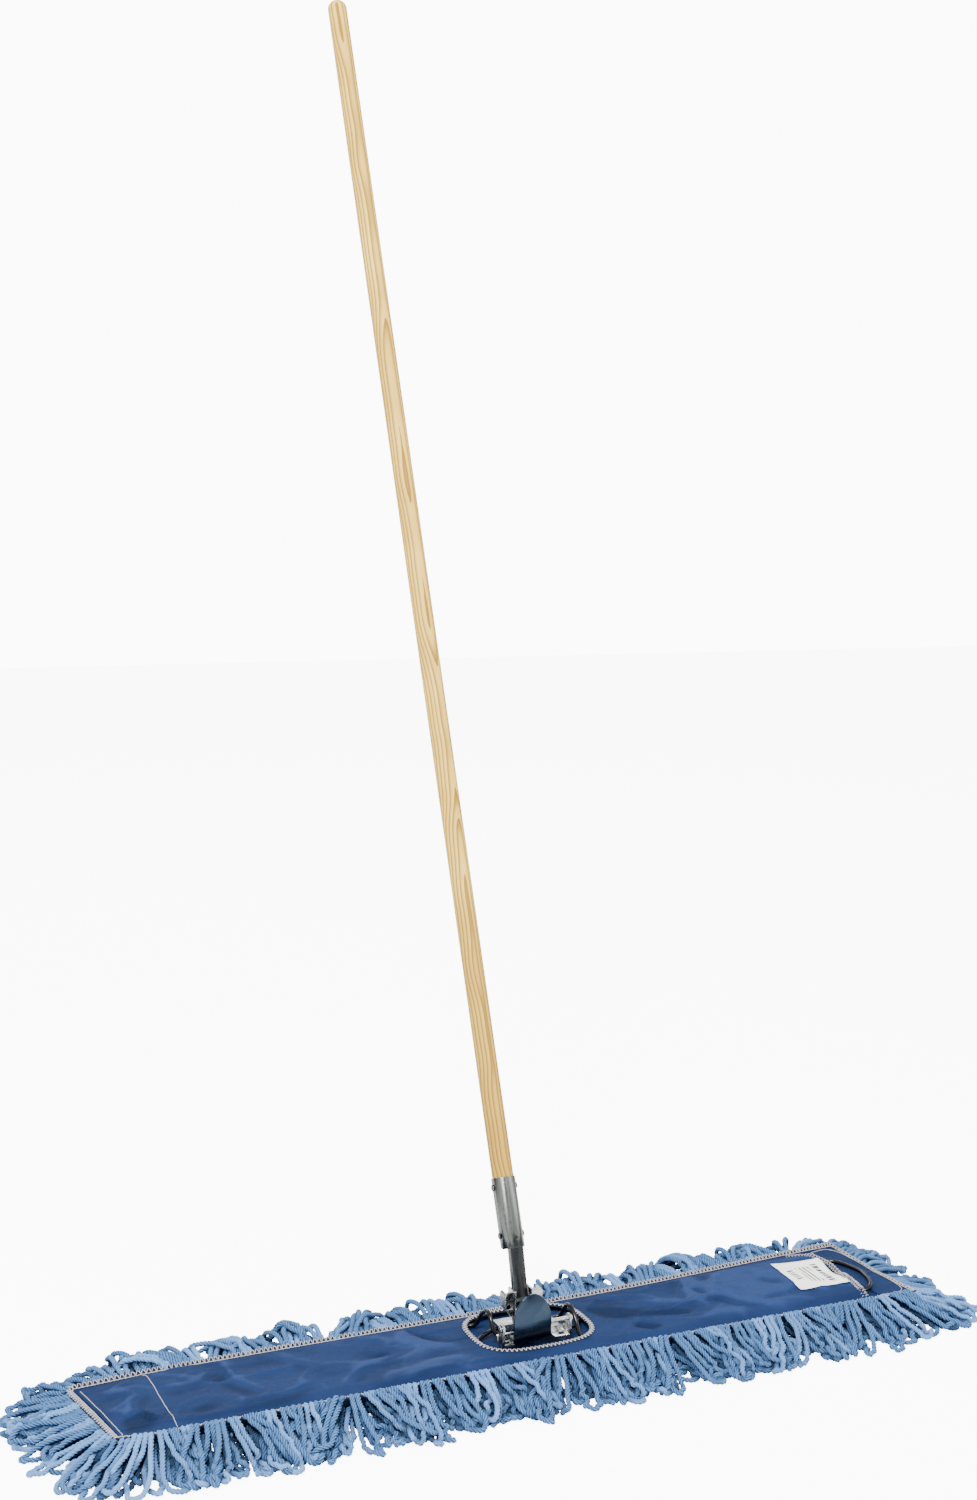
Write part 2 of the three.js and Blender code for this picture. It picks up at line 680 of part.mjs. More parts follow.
function buildPole() {
  const radius = POLE_DIAMETER / 2;
  const top = POLE_START + POLE_LENGTH;
  const dome = Array.from({ length: 7 }, (_, i) => {
    const angle = (i / 6) * (Math.PI / 2);
    return point(radius * Math.cos(angle), top - radius + radius * Math.sin(angle));
  });
  dome[6].x = 0;
  const profile = [point(0, POLE_START), point(radius, POLE_START), ...dome];
  const pole = solidOf(new THREE.LatheGeometry(profile, 32).rotateX(Math.PI / 2));
  place("handle_pole", cut(pole, ...rivetHoles()), PINE, handle);
}

function buildFerruleRivets() {
  const outer = FERRULE_RADIUS + GAP;
  for (const [where, along] of Object.entries(RIVET_PLACES)) {
    const rivet = join(
      crossbar(0, along, -outer - 1.2, outer + 1.2, 2, 12),
      crossbar(0, along, -outer - 1.2, -outer, 3.4, 12),
      crossbar(0, along, outer, outer + 1.2, 3.4, 12),
    );
    place(`ferrule_rivet_${where}`, rivet, GALVANISED, handle);
  }
}

buildYarn();
buildCloths();
buildStitching();
buildFrame();
buildClipBase();
buildLever();
buildLeverPin();
buildLeverSpring();
buildSwivel();
buildYoke();
buildFerrule();
buildPole();
buildFerruleRivets();

export default part;
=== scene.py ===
"""A looped-yarn dust mop on a rigid wire frame, with a clip-on swivel head and a pine pole."""

import logging
import math
from dataclasses import dataclass, field
from enum import Enum

import bmesh
import bpy
import numpy as np
from mathutils import Matrix, Vector, noise


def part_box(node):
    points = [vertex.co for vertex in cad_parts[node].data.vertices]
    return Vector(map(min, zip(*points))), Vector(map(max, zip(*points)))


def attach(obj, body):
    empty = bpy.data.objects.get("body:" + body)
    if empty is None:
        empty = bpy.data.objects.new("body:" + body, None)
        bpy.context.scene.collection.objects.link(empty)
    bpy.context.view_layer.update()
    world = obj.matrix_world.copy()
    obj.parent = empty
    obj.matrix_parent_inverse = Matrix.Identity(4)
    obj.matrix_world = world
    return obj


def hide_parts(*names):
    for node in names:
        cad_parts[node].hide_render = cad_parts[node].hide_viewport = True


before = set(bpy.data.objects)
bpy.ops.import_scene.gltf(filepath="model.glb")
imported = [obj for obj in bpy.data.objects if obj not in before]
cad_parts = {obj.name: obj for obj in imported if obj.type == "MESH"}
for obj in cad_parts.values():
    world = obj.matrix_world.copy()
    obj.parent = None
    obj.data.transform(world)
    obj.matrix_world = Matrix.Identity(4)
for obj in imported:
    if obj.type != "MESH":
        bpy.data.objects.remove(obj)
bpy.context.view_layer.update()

LOG = logging.getLogger("dust_mop")
MM = 0.001


class Body(Enum):
    """The rigid body that a piece moves with."""

    HEAD = "mop_head"
    LEVER = "lever"
    YOKE = "yoke"
    HANDLE = "handle"


def node_box(node: str) -> tuple[np.ndarray, np.ndarray]:
    """Give a CAD node's lowest and highest corners as arrays.

    Args:
        node: the node's name.

    Returns:
        The two corners, in metres.
    """
    low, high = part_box(node)
    return np.array(low), np.array(high)


def deselect_all() -> None:
    """Leave object mode's selection empty."""
    if bpy.context.object and bpy.context.object.mode != "OBJECT":
        bpy.ops.object.mode_set(mode="OBJECT")
    bpy.ops.object.select_all(action="DESELECT")


def activate(piece: bpy.types.Object) -> None:
    """Make one object the selected and active one."""
    deselect_all()
    piece.select_set(True)
    bpy.context.view_layer.objects.active = piece


def apply_modifiers(piece: bpy.types.Object) -> None:
    """Apply every modifier of a piece, in order."""
    activate(piece)
    for modifier in list(piece.modifiers):
        bpy.ops.object.modifier_apply(modifier=modifier.name)


def settle(piece: bpy.types.Object) -> None:
    """Bake a piece's place, turn and size into its mesh."""
    activate(piece)
    bpy.ops.object.transform_apply(location=True, rotation=True, scale=True)


def add_mesh(name: str, points: np.ndarray, faces: np.ndarray | list) -> bpy.types.Object:
    """Make an object from points and faces, and link it to the scene.

    Args:
        name: the object's name.
        points: the vertices, in metres.
        faces: vertex numbers, one row for each face.

    Returns:
        The new object.
    """
    data = bpy.data.meshes.new(name)
    data.from_pydata(np.asarray(points).tolist(), [], [list(face) for face in faces])
    piece = bpy.data.objects.new(name, data)
    bpy.context.scene.collection.objects.link(piece)
    return piece


def quads_mesh(name: str, points: np.ndarray, quads: np.ndarray) -> bpy.types.Object:
    """Make an object from very many four-sided faces quickly.

    Args:
        name: the object's name.
        points: the vertices, in metres.
        quads: four vertex numbers in each row.

    Returns:
        The new object, smooth shaded.
    """
    data = bpy.data.meshes.new(name)
    data.vertices.add(len(points))
    data.vertices.foreach_set("co", np.asarray(points, dtype=np.float32).ravel())
    data.loops.add(4 * len(quads))
    data.loops.foreach_set("vertex_index", np.asarray(quads, dtype=np.int32).ravel())
    data.polygons.add(len(quads))
    starts = np.arange(len(quads), dtype=np.int32) * 4
    data.polygons.foreach_set("loop_start", starts)
    data.polygons.foreach_set("use_smooth", np.ones(len(quads), dtype=bool))
    data.update(calc_edges=True)
    data.validate()
    piece = bpy.data.objects.new(name, data)
    bpy.context.scene.collection.objects.link(piece)
    return piece


def grid_quads(shape: tuple[int, int]) -> np.ndarray:
    """List the quads between the points of a grid, numbered row by row.

    Args:
        shape: how many rows and columns of points.

    Returns:
        Array of (quad, 4) point numbers.
    """
    number = np.arange(shape[0] * shape[1]).reshape(shape)
    corners = [number[:-1, :-1], number[:-1, 1:], number[1:, 1:], number[1:, :-1]]
    return np.stack(corners, -1).reshape(-1, 4)


def dress(
    piece: bpy.types.Object, material: bpy.types.Material, body: Body
) -> bpy.types.Object:
    """Give a piece its material and the body it moves with.

    Args:
        piece: the piece.
        material: its finish.
        body: the CAD body it rides on.

    Returns:
        The same piece.
    """
    piece.data.materials.clear()
    piece.data.materials.append(material)
    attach(piece, body.value)
    LOG.info("%s: %d faces", piece.name, len(piece.data.polygons))
    return piece


def smooth_path(points: np.ndarray, spacing: float, closed: bool = False) -> np.ndarray:
    """Run a smooth curve through points and sample it evenly.

    Args:
        points: the points the curve passes through.
        spacing: the wanted distance between samples.
        closed: whether the curve returns to its start.

    Returns:
        The samples; a closed curve's last sample comes before its first.
    """
    if closed:
        control = np.vstack([points[-1], points, points[0], points[1]])
    else:
        control = np.vstack([2 * points[0] - points[1], points, 2 * points[-1] - points[-2]])
    fine = []
    t = np.linspace(0, 1, 16, endpoint=False)[:, None]
    for a, b, c, d in zip(control, control[1:], control[2:], control[3:]):
        ab, bc, cd = (np.linalg.norm(q - p) ** 0.5 + 1e-9 for p, q in ((a, b), (b, c), (c, d)))
        m1 = (b - a) / ab - (c - a) / (ab + bc) + (c - b) / bc
        m2 = (c - b) / bc - (d - b) / (bc + cd) + (d - c) / cd
        m1, m2 = m1 * bc, m2 * bc
        fine.append(
            (2 * t**3 - 3 * t**2 + 1) * b
            + (t**3 - 2 * t**2 + t) * m1
            + (3 * t**2 - 2 * t**3) * c
            + (t**3 - t**2) * m2
        )
    fine.append(control[-2][None])
    fine = np.vstack(fine)
    along = np.concatenate([[0], np.cumsum(np.linalg.norm(np.diff(fine, axis=0), axis=1))])
    count = max(int(round(along[-1] / spacing)), 2) + 1
    wanted = np.linspace(0, along[-1], count)
    even = np.stack([np.interp(wanted, along, fine[:, k]) for k in range(3)], axis=1)
    return even[:-1] if closed else even


def ring_frames(paths: np.ndarray) -> tuple[np.ndarray, np.ndarray]:
    """Carry a pair of side directions along many paths without twist.

    Args:
        paths: array of (path, sample, 3) points.

    Returns:
        Two arrays of unit vectors, square to each path and to each other.
    """
    tangents = np.gradient(paths, axis=1)
    tangents /= np.linalg.norm(tangents, axis=2, keepdims=True) + 1e-12
    first = np.empty_like(tangents)
    guess = np.where(np.abs(tangents[:, 0, 2:3]) > 0.8, [[1.0, 0, 0]], [[0, 0, 1.0]])
    for i in range(paths.shape[1]):
        tangent = tangents[:, i]
        guess = guess - (guess * tangent).sum(1, keepdims=True) * tangent
        guess /= np.linalg.norm(guess, axis=1, keepdims=True) + 1e-12
        first[:, i] = guess
    return first, np.cross(tangents, first)


def tubes(
    paths: np.ndarray,
    radius: float | np.ndarray,
    sides: int,
    groove: float = 0.0,
    lay: float = 0.0,
    closed: bool = False,
) -> tuple[np.ndarray, np.ndarray, np.ndarray]:
    """Sweep a round or plied section along many paths of equal sample count.

    Args:
        paths: array of (path, sample, 3) points.
        radius: the section's radius, one number or one for each sample.
        sides: how many sides the section has.
        groove: how deep each second corner lies, as a share of the radius.
        lay: the length in which the section turns once, or 0 for no turn.
        closed: whether each path joins its own start.

    Returns:
        The points, the quads, and for each quad corner its length along and turn around.
    """
    count, samples = paths.shape[:2]
    first, second = ring_frames(paths)
    steps = np.linalg.norm(np.diff(paths, axis=1), axis=2)
    along = np.concatenate([np.zeros((count, 1)), np.cumsum(steps, axis=1)], axis=1)
    turn = np.arange(sides) / sides
    angle = 2 * np.pi * turn[None, None] + (2 * np.pi / lay * along[..., None] if lay else 0)
    angle = np.broadcast_to(angle, (count, samples, sides))
    size = np.broadcast_to(np.asarray(radius, dtype=float), (count, samples))[..., None]
    size = size * np.where(np.arange(sides) % 2, 1 - groove, 1.0)
    points = (
        paths[:, :, None]
        + (size * np.cos(angle))[..., None] * first[:, :, None]
        + (size * np.sin(angle))[..., None] * second[:, :, None]
    )
    spans = samples if closed else samples - 1
    p, s, k = np.meshgrid(np.arange(count), np.arange(spans), np.arange(sides), indexing="ij")
    following, beside = (s + 1) % samples, (k + 1) % sides
    corners = [(s, k), (s, beside), (following, beside), (following, k)]
    quads = np.stack([(p * samples + i) * sides + j for i, j in corners], axis=-1).reshape(-1, 4)
    reach = np.concatenate([along, along[:, -1:] + steps[:, :1]], axis=1)
    uv = np.stack(
        [
            np.stack([reach[p, s + i], (k + j) / sides], -1)
            for i, j in ((0, 0), (0, 1), (1, 1), (1, 0))
        ],
        axis=-2,
    ).reshape(-1, 2)
    if sides == 8 and not closed:
        ends = np.array([[3, 2, 1, 0], [7, 4, 3, 0], [7, 6, 5, 4]])
        first_ring = np.arange(count)[:, None, None] * samples * sides
        last_ring = first_ring + (samples - 1) * sides
        caps = np.concatenate([(first_ring + ends).reshape(-1, 4), (last_ring + ends[:, ::-1]).reshape(-1, 4)])
        quads = np.concatenate([quads, caps])
        uv = np.concatenate([uv, np.zeros((4 * len(caps), 2))])
    return points.reshape(-1, 3), quads, uv


def capped(quads: np.ndarray, count: int, samples: int, sides: int) -> list:
    """List a tube set's quads with an end face on each end of each tube.

    Args:
        quads: the tubes' side faces.
        count: how many tubes.
        samples: points along each tube.
        sides: points round each tube.

    Returns:
        The side faces followed by the end faces.
    """
    ends = []
    for tube in range(count):
        start = tube * samples * sides
        last = start + (samples - 1) * sides
        ends.append(list(range(start + sides - 1, start - 1, -1)))
        ends.append(list(range(last, last + sides)))
    return quads.tolist() + ends


def strand_uv(piece: bpy.types.Object, uv: np.ndarray) -> None:
    """Store length along and turn around as the piece's UV map."""
    layer = piece.data.uv_layers.new(name="strand")
    full = np.zeros((len(piece.data.loops), 2), dtype=np.float32)
    full[: len(uv)] = uv[: len(full)]
    layer.data.foreach_set("uv", full.ravel())


# ---------------------------------------------------------------- finishes


class NodeWriter:
    """Writes one node tree: adds nodes and links them in reading order."""

    def __init__(self, tree: bpy.types.NodeTree) -> None:
        """Keep the tree to write in."""
        self.tree = tree

    def add(self, kind: str, **values: object) -> bpy.types.Node:
        """Add a node and set its properties.

        Args:
            kind: the node type's identifier.
            values: property names and values.

        Returns:
            The node.
        """
        node = self.tree.nodes.new(kind)
        for key, value in values.items():
            setattr(node, key, value)
        return node

    def link(self, source: bpy.types.NodeSocket, target: bpy.types.NodeSocket) -> None:
        """Join an output to an input."""
        self.tree.links.new(source, target)

    def math(self, operation: str, *inputs: object) -> bpy.types.NodeSocket:
        """Add a Math node on sockets or numbers.

        Args:
            operation: the Math node's operation.
            inputs: sockets or numbers, in order.

        Returns:
            The result's socket.
        """
        node = self.add("ShaderNodeMath", operation=operation)
        for place, value in enumerate(inputs):
            if isinstance(value, bpy.types.NodeSocket):
                self.link(value, node.inputs[place])
            else:
                node.inputs[place].default_value = value
        return node.outputs[0]

    def mix(self, share: object, low: object, high: object) -> bpy.types.NodeSocket:
        """Mix two colours by a share.

        Args:
            share: socket or number from 0 to 1.
            low: socket or colour at 0.
            high: socket or colour at 1.

        Returns:
            The mixed colour's socket.
        """
        node = self.add("ShaderNodeMix", data_type="RGBA")
        for socket, value in ((node.inputs[0], share), (node.inputs[6], low), (node.inputs[7], high)):
            if isinstance(value, bpy.types.NodeSocket):
                self.link(value, socket)
            else:
                socket.default_value = value
        return node.outputs[2]

    def noise(self, vector: object, scale: float, detail: float = 3, **extra: float) -> bpy.types.NodeSocket:
        """Add a noise texture and return its value.

        Args:
            vector: the socket it reads, or None for its own default.
            scale: its scale.
            detail: its octaves.
            **extra: other inputs, by name in lower case.

        Returns:
            The noise value's socket.
        """
        node = self.add("ShaderNodeTexNoise")
        node.inputs["Scale"].default_value = scale
        node.inputs["Detail"].default_value = detail
        for key, value in extra.items():
            node.inputs[key.capitalize()].default_value = value
        if vector is not None:
            self.link(vector, node.inputs["Vector"])
        return node.outputs["Fac"]

    def ramp(self, value: bpy.types.NodeSocket, low: float, high: float) -> bpy.types.NodeSocket:
        """Stretch a value so that low gives 0 and high gives 1."""
        node = self.add("ShaderNodeMapRange", interpolation_type="SMOOTHSTEP")
        node.inputs["From Min"].default_value = low
        node.inputs["From Max"].default_value = high
        self.link(value, node.inputs["Value"])
        return node.outputs["Result"]

    def stretched(self, scale: tuple[float, float, float], turn: tuple = (0, 0, 0)) -> bpy.types.NodeSocket:
        """Give object coordinates, turned and then scaled on each axis."""
        place = self.add("ShaderNodeTexCoord")
        mapping = self.add("ShaderNodeMapping")
        mapping.inputs["Rotation"].default_value = turn
        mapping.inputs["Scale"].default_value = scale
        self.link(place.outputs["Object"], mapping.inputs["Vector"])
        return mapping.outputs["Vector"]

    def place(self, group: bpy.types.NodeTree, **values: float) -> bpy.types.Node:
        """Place a node group and set its inputs, named with _ for a space."""
        node = self.add("ShaderNodeGroup")
        node.node_tree = group
        for key, value in values.items():
            node.inputs[key.replace("_", " ")].default_value = value
        return node


def new_group(name: str, inputs: dict[str, float], outputs: dict[str, str]) -> tuple:
    """Start a shader node group.

    Args:
        name: the group's name.
        inputs: input names and their default numbers.
        outputs: output names and their socket types.

    Returns:
        The group, its writer, its input node and its output node.
    """
    group = bpy.data.node_groups.new(name, "ShaderNodeTree")
    for key, value in inputs.items():
        socket = group.interface.new_socket(name=key, in_out="INPUT", socket_type="NodeSocketFloat")
        socket.default_value = value
    for key, kind in outputs.items():
        group.interface.new_socket(name=key, in_out="OUTPUT", socket_type=kind)
    writer = NodeWriter(group)
    return group, writer, writer.add("NodeGroupInput"), writer.add("NodeGroupOutput")


class Effects:
    """The shader effects that more than one finish uses, each built once."""

    def __init__(self) -> None:
        """Build the three groups."""
        self.twist = self._twist()
        self.weave = self._weave()
        self.wear = self._wear()

    def _twist(self) -> bpy.types.NodeTree:
        """Plies laid round a strand, read from its strand UV map, whose second part turns with them.

        Returns:
            The node group.
        """
        group, w, given, out = new_group(
            "ply_twist",
            {"Plies": 4.0, "Fuzz": 0.4},
            {"Height": "NodeSocketFloat", "Groove": "NodeSocketFloat"},
        )
        uv = w.add("ShaderNodeUVMap", uv_map="strand")
        split = w.add("ShaderNodeSeparateXYZ")
        w.link(uv.outputs["UV"], split.inputs[0])
        phase = w.math("MULTIPLY", split.outputs[1], given.outputs["Plies"])
        wave = w.math("COSINE", w.math("MULTIPLY", phase, 2 * math.pi))
        rounded = w.math("POWER", w.math("MULTIPLY_ADD", wave, 0.5, 0.5), 0.55)
        slant = w.add("ShaderNodeCombineXYZ")
        w.link(w.math("MULTIPLY", split.outputs[0], 420.0), slant.inputs[0])
        w.link(w.math("MULTIPLY_ADD", split.outputs[1], 26.0, slant.inputs[0].links[0].from_socket), slant.inputs[1])
        fibres = w.noise(slant.outputs[0], 1, 3)
        lint = w.noise(w.stretched((1, 1, 1)), 1900, 2)
        fuzz = w.math("MULTIPLY", w.math("ADD", fibres, lint), given.outputs["Fuzz"])
        w.link(w.math("ADD", fuzz, rounded), out.inputs["Height"])
        # The groove share feeds the yarn finishes' painted shade between the plies.
        w.link(w.math("SUBTRACT", 1.0, rounded), out.inputs["Groove"])
        return group

    def _weave(self) -> bpy.types.NodeTree:
        """Plain over-and-under weave on object coordinates in the cloth's plane.

        Returns:
            The node group.
        """
        group, w, given, out = new_group(
            "plain_weave",
            {"Threads": 1600.0, "Slub": 0.5},
            {"Height": "NodeSocketFloat", "Shade": "NodeSocketFloat"},
        )
        split = w.add("ShaderNodeSeparateXYZ")
        w.link(w.stretched((1, 1, 1)), split.inputs[0])
        wave = []
        for axis in (0, 1):
            angle = w.math("MULTIPLY", split.outputs[axis], given.outputs["Threads"])
            wave.append(w.math("SINE", w.math("MULTIPLY", angle, math.pi)))
        cross = w.math("MULTIPLY", wave[0], wave[1])
        slub = w.math("MULTIPLY", w.noise(w.stretched((60, 900, 60)), 1, 2), given.outputs["Slub"])
        w.link(w.math("ADD", cross, slub), out.inputs["Height"])
        w.link(w.noise(w.stretched((9, 16, 9)), 1, 4), out.inputs["Shade"])
        return group

    def _wear(self) -> bpy.types.NodeTree:
        """Scuffs, spangle and fine scratches for metal and lacquer.

        Returns:
            The node group.
        """
        group, w, given, out = new_group(
            "scuffs",
            {"Spangle": 260.0, "Scratch": 1.0},
            {"Scuff": "NodeSocketFloat", "Cells": "NodeSocketFloat", "Height": "NodeSocketFloat"},
        )
        place = w.stretched((1, 1, 1))
        cells = w.add("ShaderNodeTexVoronoi")
        w.link(place, cells.inputs["Vector"])
        w.link(given.outputs["Spangle"], cells.inputs["Scale"])
        split = w.add("ShaderNodeSeparateXYZ")
        w.link(cells.outputs["Color"], split.inputs[0])
        scratch = w.noise(w.stretched((180, 1900, 1900), (0.4, 0.2, 0.6)), 1, 2)
        marks = w.ramp(scratch, 0.58, 0.72)
        patch = w.ramp(w.noise(place, 90, 4), 0.48, 0.68)
        w.link(w.math("MULTIPLY", w.math("MULTIPLY", marks, patch), given.outputs["Scratch"]), out.inputs["Scuff"])
        w.link(split.outputs[0], out.inputs["Cells"])
        w.link(w.math("ADD", marks, w.noise(place, 700, 2)), out.inputs["Height"])
        return group


def new_material(name: str) -> tuple[bpy.types.Material, NodeWriter, bpy.types.Node]:
    """Start a material.

    Args:
        name: its name.

    Returns:
        The material, a writer on its tree, and its Principled BSDF.
    """
    material = bpy.data.materials.new(name)
    material.use_nodes = True
    writer = NodeWriter(material.node_tree)
    return material, writer, material.node_tree.nodes["Principled BSDF"]


def bump(
    w: NodeWriter, shader: bpy.types.Node, height: bpy.types.NodeSocket, strength: float, distance: float
) -> None:
    """Feed a height to the shader's normal through a Bump node."""
    node = w.add("ShaderNodeBump")
    node.inputs["Strength"].default_value = strength
    node.inputs["Distance"].default_value = distance
    w.link(height, node.inputs["Height"])
    w.link(node.outputs["Normal"], shader.inputs["Normal"])


@dataclass(frozen=True)
class YarnFinish:
    """Soft plied yarn: a light ply crown, painted shade in the grooves between plies, a tint for each loop, and
    painted shade on strands under others.
    """

    name: str
    crown: tuple
    # The groove colour is painted shade between the plies.
    groove: tuple
    plies: float = 4.0
    depth: float = 0.0007

    def build(self, effects: Effects) -> bpy.types.Material:
        """Make the material with the shared twist effect.

        Args:
            effects: the shared effects.

        Returns:
            The material.
        """
        material, w, shader = new_material(self.name)
        twist = w.place(effects.twist, Plies=self.plies, Fuzz=0.45)
        # Painted shade: the groove colour darkens the yarn between its plies.
        groove = w.math("MULTIPLY", twist.outputs["Groove"], 0.9)
        plied = w.mix(groove, self.crown, self.groove)
        tint = w.add("ShaderNodeAttribute", attribute_name="tint")
        faded = tuple(min(1.0, 1.35 * c + 0.03) for c in self.crown[:3]) + (1.0,)
        deep = tuple(0.72 * c for c in self.crown[:3]) + (1.0,)
        light = w.mix(w.ramp(tint.outputs["Fac"], 0.55, 1.0), plied, faded)
        dark = w.mix(w.ramp(tint.outputs["Fac"], 0.45, 0.0), light, deep)
        toned = w.mix(0.85, plied, dark)
        # Painted shade: strands lying under other strands darken towards a near-black blue.
        painted_shade_depth = w.add("ShaderNodeAttribute", attribute_name="painted_shade_depth")
        under_shade = tuple(0.15 * c for c in self.groove[:3]) + (1.0,)
        w.link(w.mix(w.math("MULTIPLY", painted_shade_depth.outputs["Fac"], 0.8), toned, under_shade), shader.inputs["Base Color"])
        shader.inputs["Roughness"].default_value = 0.95
        shader.inputs["Specular IOR Level"].default_value = 0.03
        shader.inputs["Sheen Weight"].default_value = 0.03
        shader.inputs["Sheen Roughness"].default_value = 0.5
        bump(w, shader, twist.outputs["Height"], 0.9, self.depth)
        return material


@dataclass(frozen=True)
class ClothFinish:
    """Woven cloth with a little shade from place to place, a soft sheen, painted highlight on fold crests and painted
    shade in fold troughs.
    """

    name: str
    light: tuple
    dark: tuple
    threads: float = 1500.0
    roughness: float = 0.62

    def build(self, effects: Effects) -> bpy.types.Material:
        """Make the material with the shared weave effect.

        Args:
            effects: the shared effects.

        Returns:
            The material.
        """
        material, w, shader = new_material(self.name)
        weave = w.place(effects.weave, Threads=self.threads, Slub=0.6)
        base = w.mix(w.ramp(weave.outputs["Shade"], 0.3, 0.7), self.dark, self.light)
        # Painted highlight on the fold crests and painted shade in the fold troughs, from the cover's crest attribute.
        crest = w.add("ShaderNodeAttribute", attribute_name="crest")
        crest_highlight = tuple(1.6 * c + 0.006 for c in self.light[:3]) + (1.0,)
        pressed = tuple(0.42 * c for c in self.dark[:3]) + (1.0,)
        with_crest_highlight = w.mix(w.math("MULTIPLY", w.ramp(crest.outputs["Fac"], 0.1, 1.1), 0.75), base, crest_highlight)
        with_fold_light_and_shade = w.mix(w.math("MULTIPLY", w.ramp(crest.outputs["Fac"], -0.1, -1.2), 0.7), with_crest_highlight, pressed)
        w.link(with_fold_light_and_shade, shader.inputs["Base Color"])
        rough = w.math("MULTIPLY_ADD", weave.outputs["Shade"], 0.16, self.roughness - 0.08)
        w.link(rough, shader.inputs["Roughness"])
        shader.inputs["Specular IOR Level"].default_value = 0.05
        shader.inputs["Sheen Weight"].default_value = 0.004
        shader.inputs["Sheen Roughness"].default_value = 0.4
        crease = w.math("ABSOLUTE", w.math("SUBTRACT", w.noise(w.stretched((4, 11, 20), (0, 0, 0.8)), 1, 2), 0.5))
        sharp = w.math("MULTIPLY", w.ramp(crease, 0.06, 0.0), 38.0)
        low_fold = w.math("MULTIPLY", w.noise(w.stretched((8, 15, 20), (0, 0, -0.55)), 1, 3), 150.0)
        height = w.math("ADD", weave.outputs["Height"], w.math("ADD", sharp, low_fold))
        bump(w, shader, height, 0.6, 0.00012)
        return material


@dataclass(frozen=True)
class SteelFinish:
    """Bare, zinc plated or galvanised steel with spangle, scuffs and fine scratches."""

    name: str
    light: tuple
    dark: tuple
    roughness: float
    spread: float
    spangle: float
    dent: float = 0.00006
    drawn: bool = False

    def build(self, effects: Effects) -> bpy.types.Material:
        """Make the material with the shared scuff effect; if drawn, with streaks along the pole that are partly its
        own and partly painted reflection bands, darker towards the bottom.

        Args:
            effects: the shared effects.

        Returns:
            The material.
        """
        material, w, shader = new_material(self.name)
        wear = w.place(effects.wear, Spangle=self.spangle, Scratch=1.0)
        cloud = w.noise(w.stretched((1, 1, 1)), 60, 4)
        shade = w.math("MULTIPLY_ADD", wear.outputs["Cells"], 0.45, w.math("MULTIPLY", cloud, 0.6))
        if self.drawn:
            place = w.stretched((1, 1, 1), (Pole.lean, 0, 0))
            # Streaks along the pole: partly the galvanised tube's own streaks, partly painted reflection bands.
            streak = w.add("ShaderNodeVectorMath", operation="MULTIPLY")
            w.link(place, streak.inputs[0])
            streak.inputs[1].default_value = (170, 170, 5)
            lines = w.ramp(w.noise(streak.outputs[0], 1, 2), 0.36, 0.62)
            shade = w.math("MULTIPLY_ADD", lines, 0.75, w.math("MULTIPLY", shade, 0.30))
            split = w.add("ShaderNodeSeparateXYZ")
            w.link(place, split.inputs[0])
            # The ferrule is darker towards its bottom.
            darker_below = w.math("MULTIPLY_ADD", w.ramp(split.outputs[2], 0.118, 0.130), 0.62, 0.38)
            shade = w.math("MULTIPLY", shade, darker_below)
        w.link(w.mix(w.ramp(shade, 0.2, 0.85), self.dark, self.light), shader.inputs["Base Color"])
        rough = w.math("MULTIPLY_ADD", shade, self.spread, self.roughness - self.spread / 2)
        w.link(w.math("MULTIPLY_ADD", wear.outputs["Scuff"], 0.2, rough), shader.inputs["Roughness"])
        shader.inputs["Metallic"].default_value = 1.0
        bump(w, shader, wear.outputs["Height"], 0.25, self.dent)
        return material


@dataclass(frozen=True)
class CoatedWireFinish:
    """Black coating with small chips that show grey steel."""

    name: str = "black_coating"
    coat: tuple = (0.0022, 0.0022, 0.0028, 1)
    chip: tuple = (0.008, 0.008, 0.009, 1)

    def build(self, effects: Effects) -> bpy.types.Material:
        """Make the material with the shared scuff effect.

        Args:
            effects: the shared effects.

        Returns:
            The material.
        """
        material, w, shader = new_material(self.name)
        wear = w.place(effects.wear, Spangle=500.0, Scratch=1.0)
        w.link(w.mix(wear.outputs["Scuff"], self.coat, self.chip), shader.inputs["Base Color"])
        w.link(w.math("MULTIPLY_ADD", wear.outputs["Cells"], 0.10, 0.16), shader.inputs["Roughness"])
        shader.inputs["Specular IOR Level"].default_value = 0.25
        shader.inputs["Coat Weight"].default_value = 0.1
        shader.inputs["Coat Roughness"].default_value = 0.15
        bump(w, shader, wear.outputs["Height"], 0.3, 0.00005)
        return material


